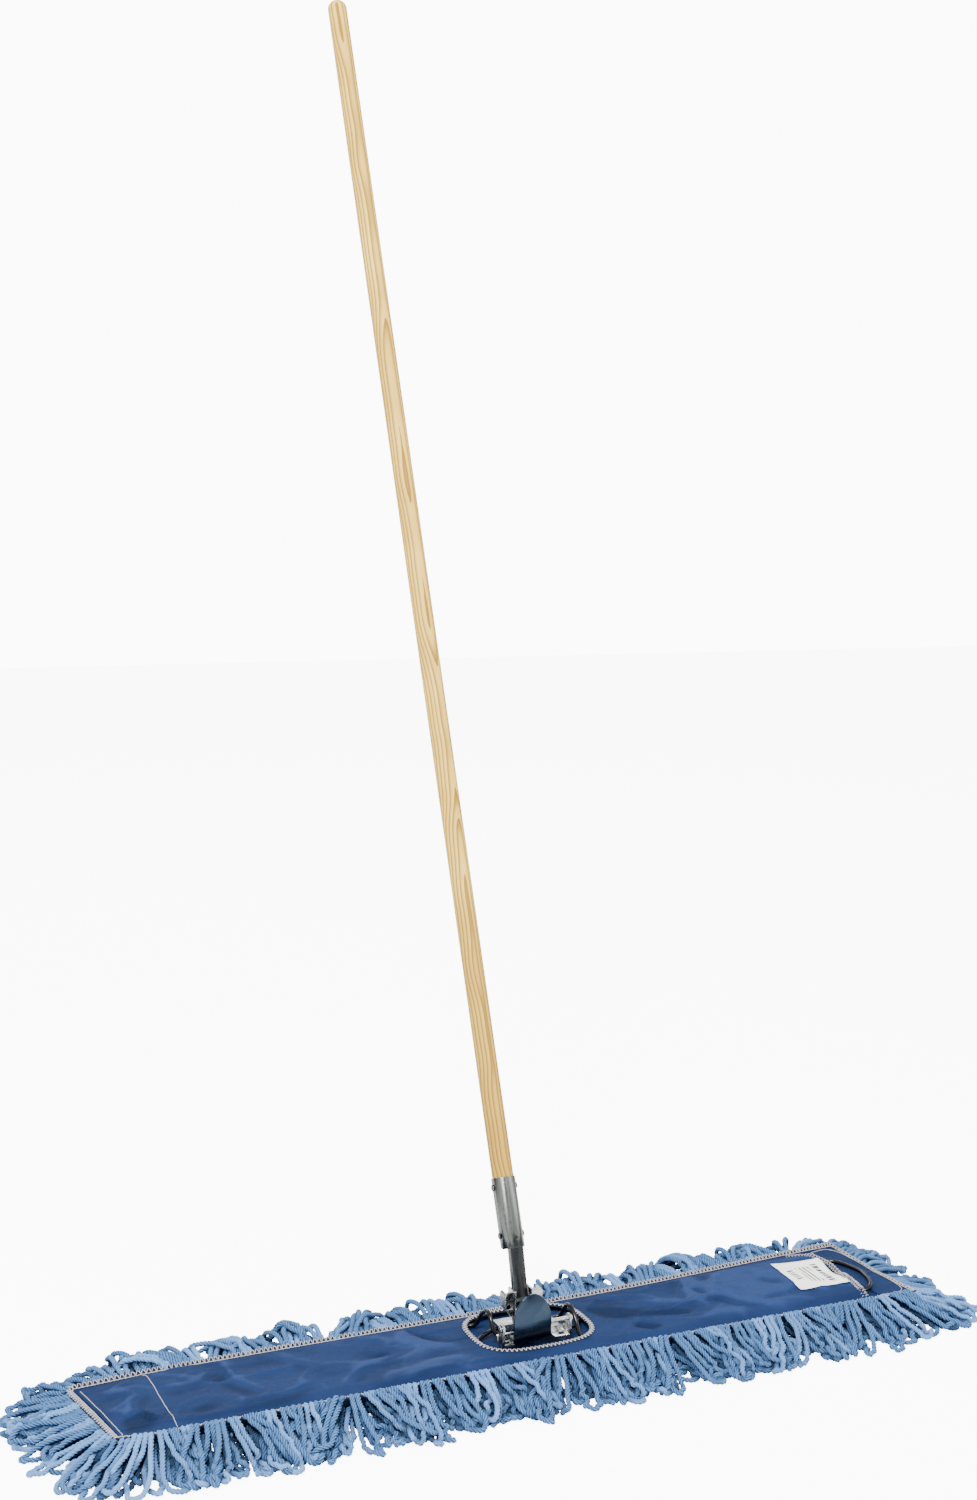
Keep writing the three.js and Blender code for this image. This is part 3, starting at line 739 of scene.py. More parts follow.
@dataclass(frozen=True)
class PineFinish:
    """Clear lacquered pine: rings cut by a leaning axis, pores and amber streaks, darker towards the bottom, with
    painted shade on the end inside the ferrule.
    """

    name: str = "lacquered_pine"
    early: tuple = (0.66, 0.41, 0.075, 1)
    late: tuple = (0.22, 0.11, 0.014, 1)
    pale: tuple = (0.90, 0.61, 0.13, 1)

    def build(self, effects: Effects, axis: np.ndarray) -> bpy.types.Material:
        """Make the material for a pole that runs along an axis.

        Args:
            effects: the shared effects.
            axis: the pole's direction.

        Returns:
            The material.
        """
        material, w, shader = new_material(self.name)
        lean = math.atan2(axis[1], axis[2])
        local = w.stretched((1, 1, 1), (lean, 0, 0))
        split = w.add("ShaderNodeSeparateXYZ")
        w.link(local, split.inputs[0])
        drift = w.add("ShaderNodeCombineXYZ")
        w.link(w.math("MULTIPLY", split.outputs[2], 1.3), drift.inputs[2])
        wander = w.math("SUBTRACT", w.noise(drift.outputs[0], 1.6, 3), 0.5)
        side = w.math("MULTIPLY_ADD", wander, 0.075, split.outputs[0])
        deep = w.math("MULTIPLY_ADD", wander, -0.05, split.outputs[1])
        deep = w.math("ADD", deep, w.math("MULTIPLY_ADD", split.outputs[2], 0.012, 0.035))
        span = w.math("SQRT", w.math("ADD", w.math("POWER", side, 2.0), w.math("POWER", deep, 2.0)))
        grain_vector = w.add("ShaderNodeVectorMath", operation="MULTIPLY")
        w.link(local, grain_vector.inputs[0])
        grain_vector.inputs[1].default_value = (900, 900, 14)
        pores = w.noise(grain_vector.outputs[0], 1, 3)
        ripple = w.math("MULTIPLY_ADD", pores, 0.00035, span)
        ring = w.math("FRACT", w.math("MULTIPLY", ripple, 230.0))
        band = w.ramp(ring, 0.25, 0.95)
        base = w.mix(w.ramp(w.noise(drift.outputs[0], 5, 3), 0.35, 0.7), self.early, self.pale)
        ringed = w.mix(w.math("MULTIPLY", band, 0.85), base, self.late)
        fine = w.mix(w.math("MULTIPLY", w.ramp(pores, 0.5, 0.8), 0.22), ringed, self.late)
        # Darker towards the bottom of the pole.
        darker_towards_bottom = w.math("MULTIPLY", w.ramp(split.outputs[2], 0.75, 0.25), 0.38)
        toned = w.mix(darker_towards_bottom, fine, self.late)
        # Painted shade: the pole's end inside the ferrule is made near black.
        hidden = w.ramp(split.outputs[2], 0.147, 0.139)
        w.link(w.mix(hidden, toned, (0.02, 0.018, 0.015, 1)), shader.inputs["Base Color"])
        wear = w.place(effects.wear, Spangle=80.0, Scratch=0.6)
        w.link(w.math("MULTIPLY_ADD", wear.outputs["Scuff"], 0.25, 0.45), shader.inputs["Roughness"])
        shader.inputs["Specular IOR Level"].default_value = 0.10
        shader.inputs["Coat Weight"].default_value = 0.02
        shader.inputs["Coat Roughness"].default_value = 0.3
        bump(w, shader, pores, 0.25, 0.0001)
        return material


@dataclass(frozen=True)
class LabelFinish:
    """Woven label with plain grey bars in place of any lettering, on the label's own UV map."""

    name: str = "label_weave"
    ground: tuple = (0.93, 0.92, 0.90, 1)
    ink: tuple = (0.045, 0.045, 0.05, 1)

    def build(self, effects: Effects) -> bpy.types.Material:
        """Make the material with the shared weave effect.

        Args:
            effects: the shared effects.

        Returns:
            The material.
        """
        material, w, shader = new_material(self.name)
        uv = w.add("ShaderNodeUVMap", uv_map="label")
        split = w.add("ShaderNodeSeparateXYZ")
        w.link(uv.outputs["UV"], split.inputs[0])
        across, along = split.outputs[0], split.outputs[1]

        def between(value: bpy.types.NodeSocket, low: float, high: float) -> bpy.types.NodeSocket:
            """Give 1 where the value lies between two numbers."""
            return w.math("MULTIPLY", w.math("GREATER_THAN", value, low), w.math("LESS_THAN", value, high))

        rows = w.math("GREATER_THAN", w.math("SINE", w.math("MULTIPLY", across, 75.0)), 0.35)
        ragged = w.math("GREATER_THAN", w.noise(w.stretched((330, 20, 20)), 1, 1), 0.42)
        text_rows = w.math("MULTIPLY", rows, between(across, 0.34, 0.62))
        text_rows = w.math("MULTIPLY", text_rows, between(along, 0.22, 0.8))
        wide_bar = w.math("MULTIPLY", between(across, 0.71, 0.83), between(along, 0.15, 0.86))
        gaps = w.math("GREATER_THAN", w.math("SINE", w.math("MULTIPLY", along, 60.0)), -0.55)
        wide_bar = w.math("MULTIPLY", wide_bar, gaps)
        block = w.math("MULTIPLY", between(across, 0.12, 0.24), between(along, 0.3, 0.72))
        dashes = w.math("GREATER_THAN", w.math("SINE", w.math("MULTIPLY", along, 95.0)), -0.1)
        marks = w.math("MAXIMUM", w.math("MULTIPLY", text_rows, ragged), w.math("MULTIPLY", block, dashes))
        marks = w.math("MINIMUM", w.math("MAXIMUM", marks, wide_bar), 1.0)
        w.link(w.mix(marks, self.ground, self.ink), shader.inputs["Base Color"])
        weave = w.place(effects.weave, Threads=2400.0, Slub=0.3)
        shader.inputs["Roughness"].default_value = 0.8
        bump(w, shader, weave.outputs["Height"], 0.3, 0.0001)
        return material


# ---------------------------------------------------------------- studio


@dataclass
class Studio:
    """The camera, the floor and the soft light round the mop."""

    eye: tuple = (-0.899, -1.817, 0.967)
    down: float = math.radians(8.38)
    right_turn: float = math.radians(24.95)
    roll: float = math.radians(1.34)
    lens: float = 47.376
    floor_size: float = 14.0
    backdrop: float = 11.0
    floor_glow: float = 8.4

    def build(self) -> None:
        """Make the camera first, then the floor and the lights."""
        self.camera()
        self.floor()
        self.lights()

    def camera(self) -> None:
        """Place the camera with its heading, tilt and roll."""
        data = bpy.data.cameras.new("camera")
        data.lens = self.lens
        data.sensor_width = 36.0
        data.clip_start = 0.05
        data.clip_end = 60.0
        data.dof.use_dof = False
        camera = bpy.data.objects.new("camera", data)
        bpy.context.scene.collection.objects.link(camera)
        flat = math.cos(self.down)
        look = Vector(
            (flat * math.sin(self.right_turn), flat * math.cos(self.right_turn), -math.sin(self.down))
        )
        side = Vector((math.cos(self.right_turn), -math.sin(self.right_turn), 0))
        up = side.cross(look)
        turned_side = side * math.cos(self.roll) + up * math.sin(self.roll)
        turned_up = up * math.cos(self.roll) - side * math.sin(self.roll)
        basis = Matrix((turned_side, turned_up, -look)).transposed().to_4x4()
        camera.matrix_world = Matrix.Translation(self.eye) @ basis
        bpy.context.scene.camera = camera

    def floor(self) -> None:
        """Lay the pale floor."""
        bpy.ops.mesh.primitive_plane_add(size=self.floor_size, location=(0, 0, -0.0006))
        floor = bpy.context.object
        floor.name = "floor"
        settle(floor)
        material, w, shader = new_material("floor_paper")
        grain = w.noise(w.stretched((1, 1, 1)), 3, 3)
        w.link(w.mix(grain, (0.9, 0.9, 0.9, 1), (0.93, 0.93, 0.93, 1)), shader.inputs["Base Color"])
        shader.inputs["Roughness"].default_value = 0.9
        shader.inputs["Specular IOR Level"].default_value = 0.1
        shader.inputs["Emission Color"].default_value = (1, 1, 1, 1)
        seen = w.add("ShaderNodeLightPath").outputs["Is Camera Ray"]
        w.link(w.math("MULTIPLY", seen, self.floor_glow), shader.inputs["Emission Strength"])
        floor.data.materials.append(material)

    def lights(self) -> None:
        """Set a bright surround and three soft panels."""
        world = bpy.data.worlds.new("surround")
        world.use_nodes = True
        w = NodeWriter(world.node_tree)
        place = w.add("ShaderNodeTexCoord")
        stretch = w.add("ShaderNodeMapping")
        stretch.inputs["Scale"].default_value = (2.6, 2.6, 0.35)
        w.link(place.outputs["Generated"], stretch.inputs["Vector"])
        bright = w.ramp(w.noise(stretch.outputs["Vector"], 1.7, 1), 0.42, 0.60)
        round_about = w.math("MULTIPLY_ADD", bright, 1.85, 0.30)
        seen = w.add("ShaderNodeLightPath").outputs["Is Camera Ray"]
        strength = w.math("MULTIPLY_ADD", seen, w.math("SUBTRACT", self.backdrop, round_about), round_about)
        background = world.node_tree.nodes["Background"]
        w.link(strength, background.inputs["Strength"])
        background.inputs["Color"].default_value = (1, 1, 1, 1)
        bpy.context.scene.world = world
        self.panel("key_panel", (-1.5, -1.7, 3.0), (0, 0, 0.2), 1.0, 275)
        self.panel("fill_panel", (2.6, -1.4, 1.8), (0, 0, 0.2), 2.2, 40)
        self.panel("rear_panel", (0.3, 2.8, 2.4), (0, 0, 0.1), 2.0, 60)

    def panel(self, name: str, place: tuple, aim: tuple, size: float, power: float) -> None:
        """Hang one square light panel.

        Args:
            name: its name.
            place: where it hangs.
            aim: the point that it faces.
            size: its side.
            power: its power in watts.
        """
        data = bpy.data.lights.new(name, "AREA")
        data.size = size
        data.energy = power
        panel = bpy.data.objects.new(name, data)
        panel.location = place
        panel.rotation_euler = (Vector(aim) - Vector(place)).to_track_quat("-Z", "Y").to_euler()
        bpy.context.scene.collection.objects.link(panel)


# ---------------------------------------------------------------- the outline the head shares


@dataclass(frozen=True)
class HeadOutline:
    """The sewn head's plan: backing, cover, opening, slot and levels, in metres."""

    half_length: float = 0.470
    half_width: float = 0.0685
    corner: float = 0.009
    cloth_bottom: float = 0.0243
    cloth_top: float = 0.0255
    cover_left: float = -0.463
    cover_half_width: float = 0.0625
    opening_centre: tuple = (0.0115, 0.0025)
    opening_half: tuple = (0.0655, 0.0475)
    squareness: float = 3.2
    lifted: float = 0.0036
    slot: tuple = ((414, -62.5), (418, -20), (423, 18), (413, 46), (392, 62.5))

    def backing(self, inset: float = 0.0, spacing: float = 0.003) -> np.ndarray:
        """Give the backing's rounded outline, moved in by an inset, as an even closed path.

        Args:
            inset: how far inside the edge.
            spacing: the distance between points.

        Returns:
            Array of (point, 3).
        """
        radius = max(self.corner - inset, 0.002)
        length, width = self.half_length - inset - radius, self.half_width - inset - radius
        points = []
        corners = ((0, length, width), (90, -length, width), (180, -length, -width), (270, length, -width))
        for start, cx, cy in corners:
            for degrees in np.linspace(start, start + 90, 13):
                turn = math.radians(degrees)
                points.append((cx + radius * math.cos(turn), cy + radius * math.sin(turn), 0.0))
        return even_closed(np.array(points), spacing)

    def lie(self, points: np.ndarray) -> np.ndarray:
        """Move points of the sewn head as the cloth lies: wider to the right, askew at the left.

        Args:
            points: array whose last axis is x, y and, if there is one, z.

        Returns:
            The moved copy. Points with a z on the hems are lifted too.
        """
        x, y = points[..., 0], points[..., 1]
        ease = lambda value: np.clip(value, 0, 1) ** 2 * (3 - 2 * np.clip(value, 0, 1))
        across = y / self.half_width
        rear, front = np.clip(across, 0, 1), np.clip(-across, 0, 1)
        right, left = ease((x - 0.09) / 0.42), ease((-0.36 - x) / 0.12)
        moved = points.copy()
        moved[..., 1] += rear * (0.020 * right - 0.008 * left) + front**2 * 0.009 * ease((-0.43 - x) / 0.06)
        moved[..., 0] += left * (-0.012 * rear + 0.011 * front) + ease((x - 0.40) / 0.07) * (0.010 * front - 0.003 * rear)
        if points.shape[-1] == 3:
            on_top = (points[..., 2] > 0.022) & (np.abs(x) < self.half_length + 0.002)
            moved[..., 2] += on_top * self.lifted * ease((np.abs(y) - 0.0600) / 0.0090)
        return moved

    def opening(self, grow: float = 0.0, count: int = 220) -> np.ndarray:
        """Give the opening's squarish oval, grown by a distance, as a closed path."""
        turn = np.linspace(0, 2 * np.pi, 720, endpoint=False)
        bow = lambda value: np.sign(value) * np.abs(value) ** (2 / self.squareness)
        x = self.opening_centre[0] + (self.opening_half[0] + grow) * bow(np.cos(turn))
        y = self.opening_centre[1] + (self.opening_half[1] + grow) * bow(np.sin(turn))
        path = np.stack([x, y, np.zeros_like(x)], axis=1)
        length = np.linalg.norm(np.diff(np.vstack([path, path[:1]]), axis=0), axis=1).sum()
        return even_closed(path, length / count)

    def in_opening(self, x: np.ndarray, y: np.ndarray, grow: float = 0.0) -> np.ndarray:
        """Say which points lie in the opening grown by a distance."""
        u = np.abs((x - self.opening_centre[0]) / (self.opening_half[0] + grow))
        v = np.abs((y - self.opening_centre[1]) / (self.opening_half[1] + grow))
        return u**self.squareness + v**self.squareness < 1

    def slot_path(self, spacing: float = 0.002) -> np.ndarray:
        """Give the cover's curved slot edge from front to rear."""
        return smooth_path(np.array([(x, y, 0) for x, y in self.slot]) * MM, spacing)


def even_closed(points: np.ndarray, spacing: float) -> np.ndarray:
    """Sample a closed chain of points evenly, with the start given once."""
    ring = np.vstack([points, points[:1]])
    along = np.concatenate([[0], np.cumsum(np.linalg.norm(np.diff(ring, axis=0), axis=1))])
    wanted = np.linspace(0, along[-1], int(round(along[-1] / spacing)) + 1)[:-1]
    return np.stack([np.interp(wanted, along, ring[:, k]) for k in range(ring.shape[1])], axis=1)


def side_directions(path: np.ndarray, closed: bool) -> np.ndarray:
    """Give the flat unit direction square to a path at each sample, to its right."""
    tangent = np.roll(path, -1, 0) - np.roll(path, 1, 0) if closed else np.gradient(path, axis=0)
    right = np.stack([tangent[:, 1], -tangent[:, 0], np.zeros(len(path))], axis=1)
    return right / (np.linalg.norm(right, axis=1, keepdims=True) + 1e-12)


# ---------------------------------------------------------------- yarn


@dataclass
class YarnFringe:
    """Rows of looped yarn round the head, let fall and settle against one another."""

    outline: HeadOutline
    radius: float = 0.0028
    rows: tuple = ((0.0225, 0.0014), (0.0175, 0.0032), (0.0120, 0.0052), (0.0070, 0.0070))
    over_front: tuple = (0.0262, 0.0022)
    reach: tuple = (1.0, 0.88, 0.72, 0.56)
    spacing: float = 0.0128
    leg: float = 0.084
    beads: int = 34
    weight: float = 0.00006
    memory: float = 0.035
    seed: int = 20

    def roots(self) -> dict[str, np.ndarray]:
        """Place every loop's root, its outward direction and its own habits.

        Returns:
            Arrays by name, one entry for each loop.
        """
        chance = np.random.default_rng(self.seed)
        place, out, row, angle = [], [], [], []
        for number, (height, inset) in enumerate(self.rows):
            path = self.outline.backing(inset, 0.0005)
            count = int(len(path) * 0.0005 / self.spacing)
            at = (np.arange(count) + chance.uniform(-0.22, 0.22, count) + 0.5 * (number % 2)) / count
            index = (at * len(path)).astype(int) % len(path)
            spot = path[index]
            hub = np.clip(spot[:, 0], -0.385, 0.385)
            away = np.stack([spot[:, 0] - hub, spot[:, 1], np.zeros(count)], axis=1)
            normal = side_directions(path, True)[index]
            ends = np.clip((np.abs(spot[:, 0]) - 0.30) / 0.17, 0, 1)[:, None] ** 1.5
            away /= np.linalg.norm(away, axis=1, keepdims=True)
            away = away * ends + normal * (1 - ends)
            away /= np.linalg.norm(away, axis=1, keepdims=True)
            spot[:, 2] = height + chance.uniform(-0.0012, 0.0012, count)
            if number == 0:
                front = (spot[:, 1] < -0.05) & (np.abs(spot[:, 0]) < self.outline.half_length - 0.02)
                spot[front, 1] = -self.outline.half_width + self.over_front[1]
                spot[front, 2] = self.over_front[0]
            place.append(spot)
            out.append(away)
            row.append(np.full(count, number))
            angle.append(at)
        place, out, row, at = (np.concatenate(part) for part in (place, out, row, angle))
        count = len(place)
        sway = np.zeros(count)
        for waves, size in ((7, 0.14), (17, 0.26), (29, 0.24), (53, 0.12)):
            sway += size * np.sin(2 * np.pi * (waves * at + chance.uniform() + 0.05 * row))
        return {
            "place": place,
            "out": out,
            "row": row,
            "at": at,
            "lean": sway + chance.normal(0, 0.06, count),
            "chance": chance.uniform(0, 1, (count, 8)),
        }

    def start(self, roots: dict[str, np.ndarray]) -> tuple[np.ndarray, np.ndarray]:
        """Lay each loop out as an arc: two legs side by side that leave the hem, bow over and turn back.

        Args:
            roots: what roots() gave.

        Returns:
            The beads of every loop, and each loop's distance between beads.
        """
        count, beads, half = len(roots["place"]), self.beads, self.beads // 2
        draw, out, place, row, at = (roots[key] for key in ("chance", "out", "place", "row", "at"))
        side = np.stack([-out[:, 1], out[:, 0], np.zeros(count)], axis=1)
        is_end = np.clip((np.abs(place[:, 0]) - 0.40) / 0.05, 0, 1)
        is_front = (place[:, 1] < 0) * (1 - is_end)
        is_rear = (place[:, 1] > 0) * (1 - is_end)
        upper = row <= 1
        group = 0.5 * np.sin(2 * np.pi * (31 * at + 0.1)) + 0.5 * np.sin(2 * np.pi * 13 * at)
        length = self.leg * np.array(self.reach)[row] * (0.90 + 0.20 * draw[:, 0] + 0.05 * group)
        first = is_end * (0.06 + 0.16 * draw[:, 2]) + is_front * (0.14 + 0.24 * draw[:, 2] + 0.08 * group)
        first += is_rear * (0.25 + upper * (0.52 + 0.20 * group + 0.25 * (draw[:, 2] - 0.5)))
        first -= 0.10 * row
        last = is_end * (-0.75) + is_front * (-1.02 - 0.15 * draw[:, 1]) + is_rear * (-1.0 - 0.2 * draw[:, 1])
        t = np.linspace(-1, 1, beads)
        share = (1 - np.abs(t))[:half]
        step = length / (half - 0.5)
        pitch = first[:, None] + (last - first)[:, None] * share**0.85
        curl = (0.70 * np.sin(2 * np.pi * (23 * at + 0.3 * row)) + 1.3 * (draw[:, 3] - 0.5)) * (1 - 0.5 * is_end)
        lean = roots["lean"] * (1 - 0.45 * is_end + 0.35 * is_rear)
        yaw = lean[:, None] + curl[:, None] * share**2
        flat = np.cos(pitch)[..., None] * (
            out[:, None] * np.cos(yaw)[..., None] + side[:, None] * np.sin(yaw)[..., None]
        )
        along = flat + np.array((0, 0, 1.0)) * np.sin(pitch)[..., None]
        centre = np.cumsum(along * step[:, None, None], axis=1) - along[:, :1] * step[:, None, None]
        across = np.stack([-np.sin(yaw), np.cos(yaw)], axis=-1)
        across = out[:, None] * across[..., :1] + side[:, None] * across[..., 1:]
        above = np.cross(along, across)
        roll = (1.9 * (draw[:, 4] - 0.5))[:, None] * share**1.5
        spread = across * np.cos(roll)[..., None] + above * np.sin(roll)[..., None]
        wide = 0.0022 + 0.0110 * draw[:, 5] ** 3 + 0.0035 * is_end
        tip = np.sqrt(np.clip((1.03 - share) / 0.14, 0, 1))
        gap = (0.0029 + wide[:, None] * np.sin(np.pi * share**1.6 * 0.92) ** 2) * tip
        legs = [centre + spread * (sign * gap)[..., None] for sign in (-1, 1)]
        laid = np.concatenate([legs[0], legs[1][:, ::-1]], axis=1) + place[:, None]
        laid[..., 2] = np.maximum(laid[..., 2], self.radius)
        return laid, step[:, None, None]

    def settle(self, beads: np.ndarray, rest: np.ndarray) -> np.ndarray:
        """Press the loops apart where they meet, while their own stiffness holds their arcs.

        Args:
            beads: array of (loop, bead, 3) points.
            rest: each loop's distance between beads.

        Returns:
            The settled beads.
        """
        steps = 90
        count, number = beads.shape[:2]
        start = beads.copy()
        place_in = np.minimum(np.arange(number), number - 1 - np.arange(number))
        held = np.broadcast_to(place_in < 2, (count, number))
        now, before = beads.copy(), beads.copy()
        loop = np.repeat(np.arange(count), number)
        bead = np.tile(np.arange(number), count)
        pair = None
        floor = self.radius * 0.98
        for step in range(steps):
            move = np.clip((now - before) * 0.7, -0.003, 0.003)
            before = now.copy()
            now = now + move
            now[..., 2] -= self.weight
            if step < steps - 12:
                now += (start - now) * self.memory
            for _ in range(3):
                for gap, least, most in ((1, 1.0, 1.0), (2, 1.86, 2.0), (4, 3.1, 4.0)):
                    for first in range(0, 2 * gap, 1 if gap == 1 else 2):
                        a = np.arange(first, number - gap, 2 * gap)
                        delta = now[:, a + gap] - now[:, a]
                        size = np.linalg.norm(delta, axis=2, keepdims=True) + 1e-9
                        goal = np.clip(size, least * rest, most * rest)
                        if gap > 1:
                            over_tip = (a < number // 2) & (a + gap >= number // 2)
                            goal = np.where(over_tip, 0, 1)[None, :, None] * (goal - size) + size
                        push = delta * (0.5 * (size - goal) / size) * (1.0 if gap == 1 else 0.45)
                        now[:, a] += push
                        now[:, a + gap] -= push
                now[held] = start[held]
            flat = now.reshape(-1, 3)
            if step % 4 == 0:
                pair = self.near_pairs(flat, loop, bead)
            self.part(flat, pair)
            now = flat.reshape(now.shape)
            self.keep_off_head(now)
            low = now[..., 2] < floor
            now[..., 2] = np.maximum(now[..., 2], floor)
            now[..., :2] = np.where(low[..., None], 0.65 * before[..., :2] + 0.35 * now[..., :2], now[..., :2])
            now[held] = start[held]
        return now

    def near_pairs(self, flat: np.ndarray, loop: np.ndarray, bead: np.ndarray) -> tuple[np.ndarray, np.ndarray]:
        """List the pairs of beads close enough to touch soon.

        Args:
            flat: all beads as (bead, 3).
            loop: the loop each bead is in.
            bead: each bead's number in its loop.

        Returns:
            The two bead numbers of each pair.
        """
        cell = np.floor((flat - flat.min(0)) / (2.5 * self.radius)).astype(np.int64) + 1
        size = cell.max(0) + 2
        key = (cell[:, 0] * size[1] + cell[:, 1]) * size[2] + cell[:, 2]
        order = np.argsort(key, kind="stable")
        ordered = key[order]
        found = []
        for dx in (0, 1):
            for dy in (-1, 0, 1):
                for dz in (-1, 0, 1):
                    offset = (dx * size[1] + dy) * size[2] + dz
                    if offset < 0:
                        continue
                    low = np.searchsorted(ordered, key + offset, "left")
                    high = np.searchsorted(ordered, key + offset, "right")
                    many = high - low
                    one = np.repeat(np.arange(len(key)), many)
                    within = np.arange(len(one)) - np.repeat(np.cumsum(many) - many, many)
                    other = order[np.repeat(low, many) + within]
                    keep = one < other if offset == 0 else np.ones(len(one), dtype=bool)
                    found.append(np.stack([one[keep], other[keep]]))
        a, b = np.concatenate(found, axis=1)
        apart = (loop[a] != loop[b]) | (np.abs(bead[a] - bead[b]) > 2)
        near = np.linalg.norm(flat[a] - flat[b], axis=1) < 3.1 * self.radius
        return a[apart & near], b[apart & near]

    def part(self, flat: np.ndarray, pair: tuple[np.ndarray, np.ndarray]) -> None:
        """Push touching beads apart, in place.

        Args:
            flat: array of (bead, 3) points.
            pair: the two ends' numbers of each close pair.
        """
        a, b = pair
        delta = flat[b] - flat[a]
        size = np.linalg.norm(delta, axis=1) + 1e-9
        depth = np.clip(1.96 * self.radius - size, 0, None)
        push = delta * (0.5 * depth / size)[:, None]
        touches = np.bincount(a, depth > 0, len(flat)) + np.bincount(b, depth > 0, len(flat))
        ease = 1 / np.maximum(touches, 1) ** 0.5
        for axis in range(3):
            total = np.bincount(b, push[:, axis], len(flat)) - np.bincount(a, push[:, axis], len(flat))
            flat[:, axis] += total * ease

    def keep_off_head(self, beads: np.ndarray) -> None:
        """Keep beads out of the pile's side and off the top of the cloth, in place.

        Args:
            beads: array of (loop, bead, 3) points.
        """
        x, y, z = beads[..., 0], beads[..., 1], beads[..., 2]
        inside = (np.abs(x) < self.outline.half_length) & (np.abs(y) < self.outline.half_width)
        rising = inside & (z > self.outline.cloth_bottom - 0.001)
        limit = self.outline.cloth_top + self.radius + 0.003
        beads[..., 2] = np.where(rising & (z > limit - 0.003), np.maximum(z, limit), z)
        low = inside & (z <= self.outline.cloth_bottom - 0.001)
        depth = 0.009
        front = low & (np.abs(y) > self.outline.half_width - 0.03) & (np.abs(y) < self.outline.half_width - depth)
        beads[..., 1] = np.where(front, np.sign(y) * (self.outline.half_width - depth), y)
        end = low & (np.abs(x) > self.outline.half_length - 0.03) & (np.abs(x) < self.outline.half_length - depth)
        end &= np.abs(y) < self.outline.half_width - 0.012
        beads[..., 0] = np.where(end, np.sign(x) * (self.outline.half_length - depth), x)

    def painted_shade_depth(self, beads: np.ndarray) -> np.ndarray:
        """Say how deep each bead lies under others, from 0 on top to 1, for the painted shade that darkens lower
        strands.

        Args:
            beads: the settled beads.

        Returns:
            One number for each bead.
        """
        flat = beads.reshape(-1, 3)
        squeezed = flat * (1.0, 1.0, 0.55)
        loop = np.repeat(np.arange(beads.shape[0]), beads.shape[1])
        a, b = self.near_pairs(squeezed, loop, np.tile(np.arange(beads.shape[1]), beads.shape[0]))
        up = flat[b, 2] - flat[a, 2]
        over = np.bincount(a, up > 0.0028, len(flat)) + np.bincount(b, up < -0.0028, len(flat))
        return np.clip(over / 4.5, 0, 1).reshape(beads.shape[:2])

    def strands(self, beads: np.ndarray, spacing: float) -> np.ndarray:
        """Round the bead chains into smooth, evenly sampled strands.

        Args:
            beads: array of (loop, bead, 3) points.
            spacing: the wanted distance between samples.

        Returns:
            Array of (loop, sample, 3) points.
        """
        before, after = 2 * beads[:, :1] - beads[:, 1:2], 2 * beads[:, -1:] - beads[:, -2:-1]
        control = np.concatenate([before, beads, after], axis=1)
        number = beads.shape[1]
        length = np.linalg.norm(np.diff(beads[..., :3], axis=1), axis=2).sum(1).mean()
        at = np.linspace(0, number - 1 - 1e-6, int(length / spacing))
        i = at.astype(int)
        t = (at - i)[None, :, None]
        a, b, c, d = (control[:, i + k] for k in range(4))
        return 0.5 * (
            2 * b + (c - a) * t + (2 * a - 5 * b + 4 * c - d) * t**2 + (3 * b - a - 3 * c + d) * t**3
        )

    def build(self, finish: bpy.types.Material) -> list[bpy.types.Object]:
        """Make the fringe as one piece for each stretch and layer.

        Args:
            finish: the yarn's material.

        Returns:
            The pieces.
        """
        roots = self.roots()
        beads, rest = self.start(roots)
        beads = self.settle(beads, rest)
        # How deep each bead lies sets the painted shade on lower strands.
        painted_shade_depth = self.painted_shade_depth(beads)
        near = np.clip(1 - (np.abs(beads[..., 1]) - self.outline.half_width) / 0.06, 0, 1)[..., None]
        edge = beads.copy()
        edge[..., 1] = np.clip(edge[..., 1], -self.outline.half_width, self.outline.half_width)
        edge[..., 0] = np.clip(edge[..., 0], -self.outline.half_length, self.outline.half_length)
        beads = beads + (self.outline.lie(edge) - edge) * (0.5 + 0.5 * near)
        place = roots["place"]
        quarter = np.where(
            np.abs(place[:, 0]) > 0.44,
            np.where(place[:, 0] < 0, "left", "right"),
            np.where(
                place[:, 1] < 0,
                np.where(place[:, 0] < 0, "front_left", "front_right"),
                np.where(place[:, 0] < 0, "rear_left", "rear_right"),
            ),
        )
        pieces = []
        for stretch in ("left", "right", "front_left", "front_right", "rear_left", "rear_right"):
            for layer, spacing, lay in (("upper", 0.0011, 0.017), ("lower", 0.0024, 0.022)):
                chosen = (quarter == stretch) & ((roots["row"] <= 1) == (layer == "upper"))
                pieces.append(
                    self.piece(
                        f"fringe_{stretch}_{layer}",
                        np.concatenate([beads[chosen], painted_shade_depth[chosen][..., None]], axis=2),
                        roots["chance"][chosen],
                        (spacing, lay),
                        finish,
                    )
                )
                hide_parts(f"yarn_fringe_{stretch.split('_')[0]}")
        return pieces

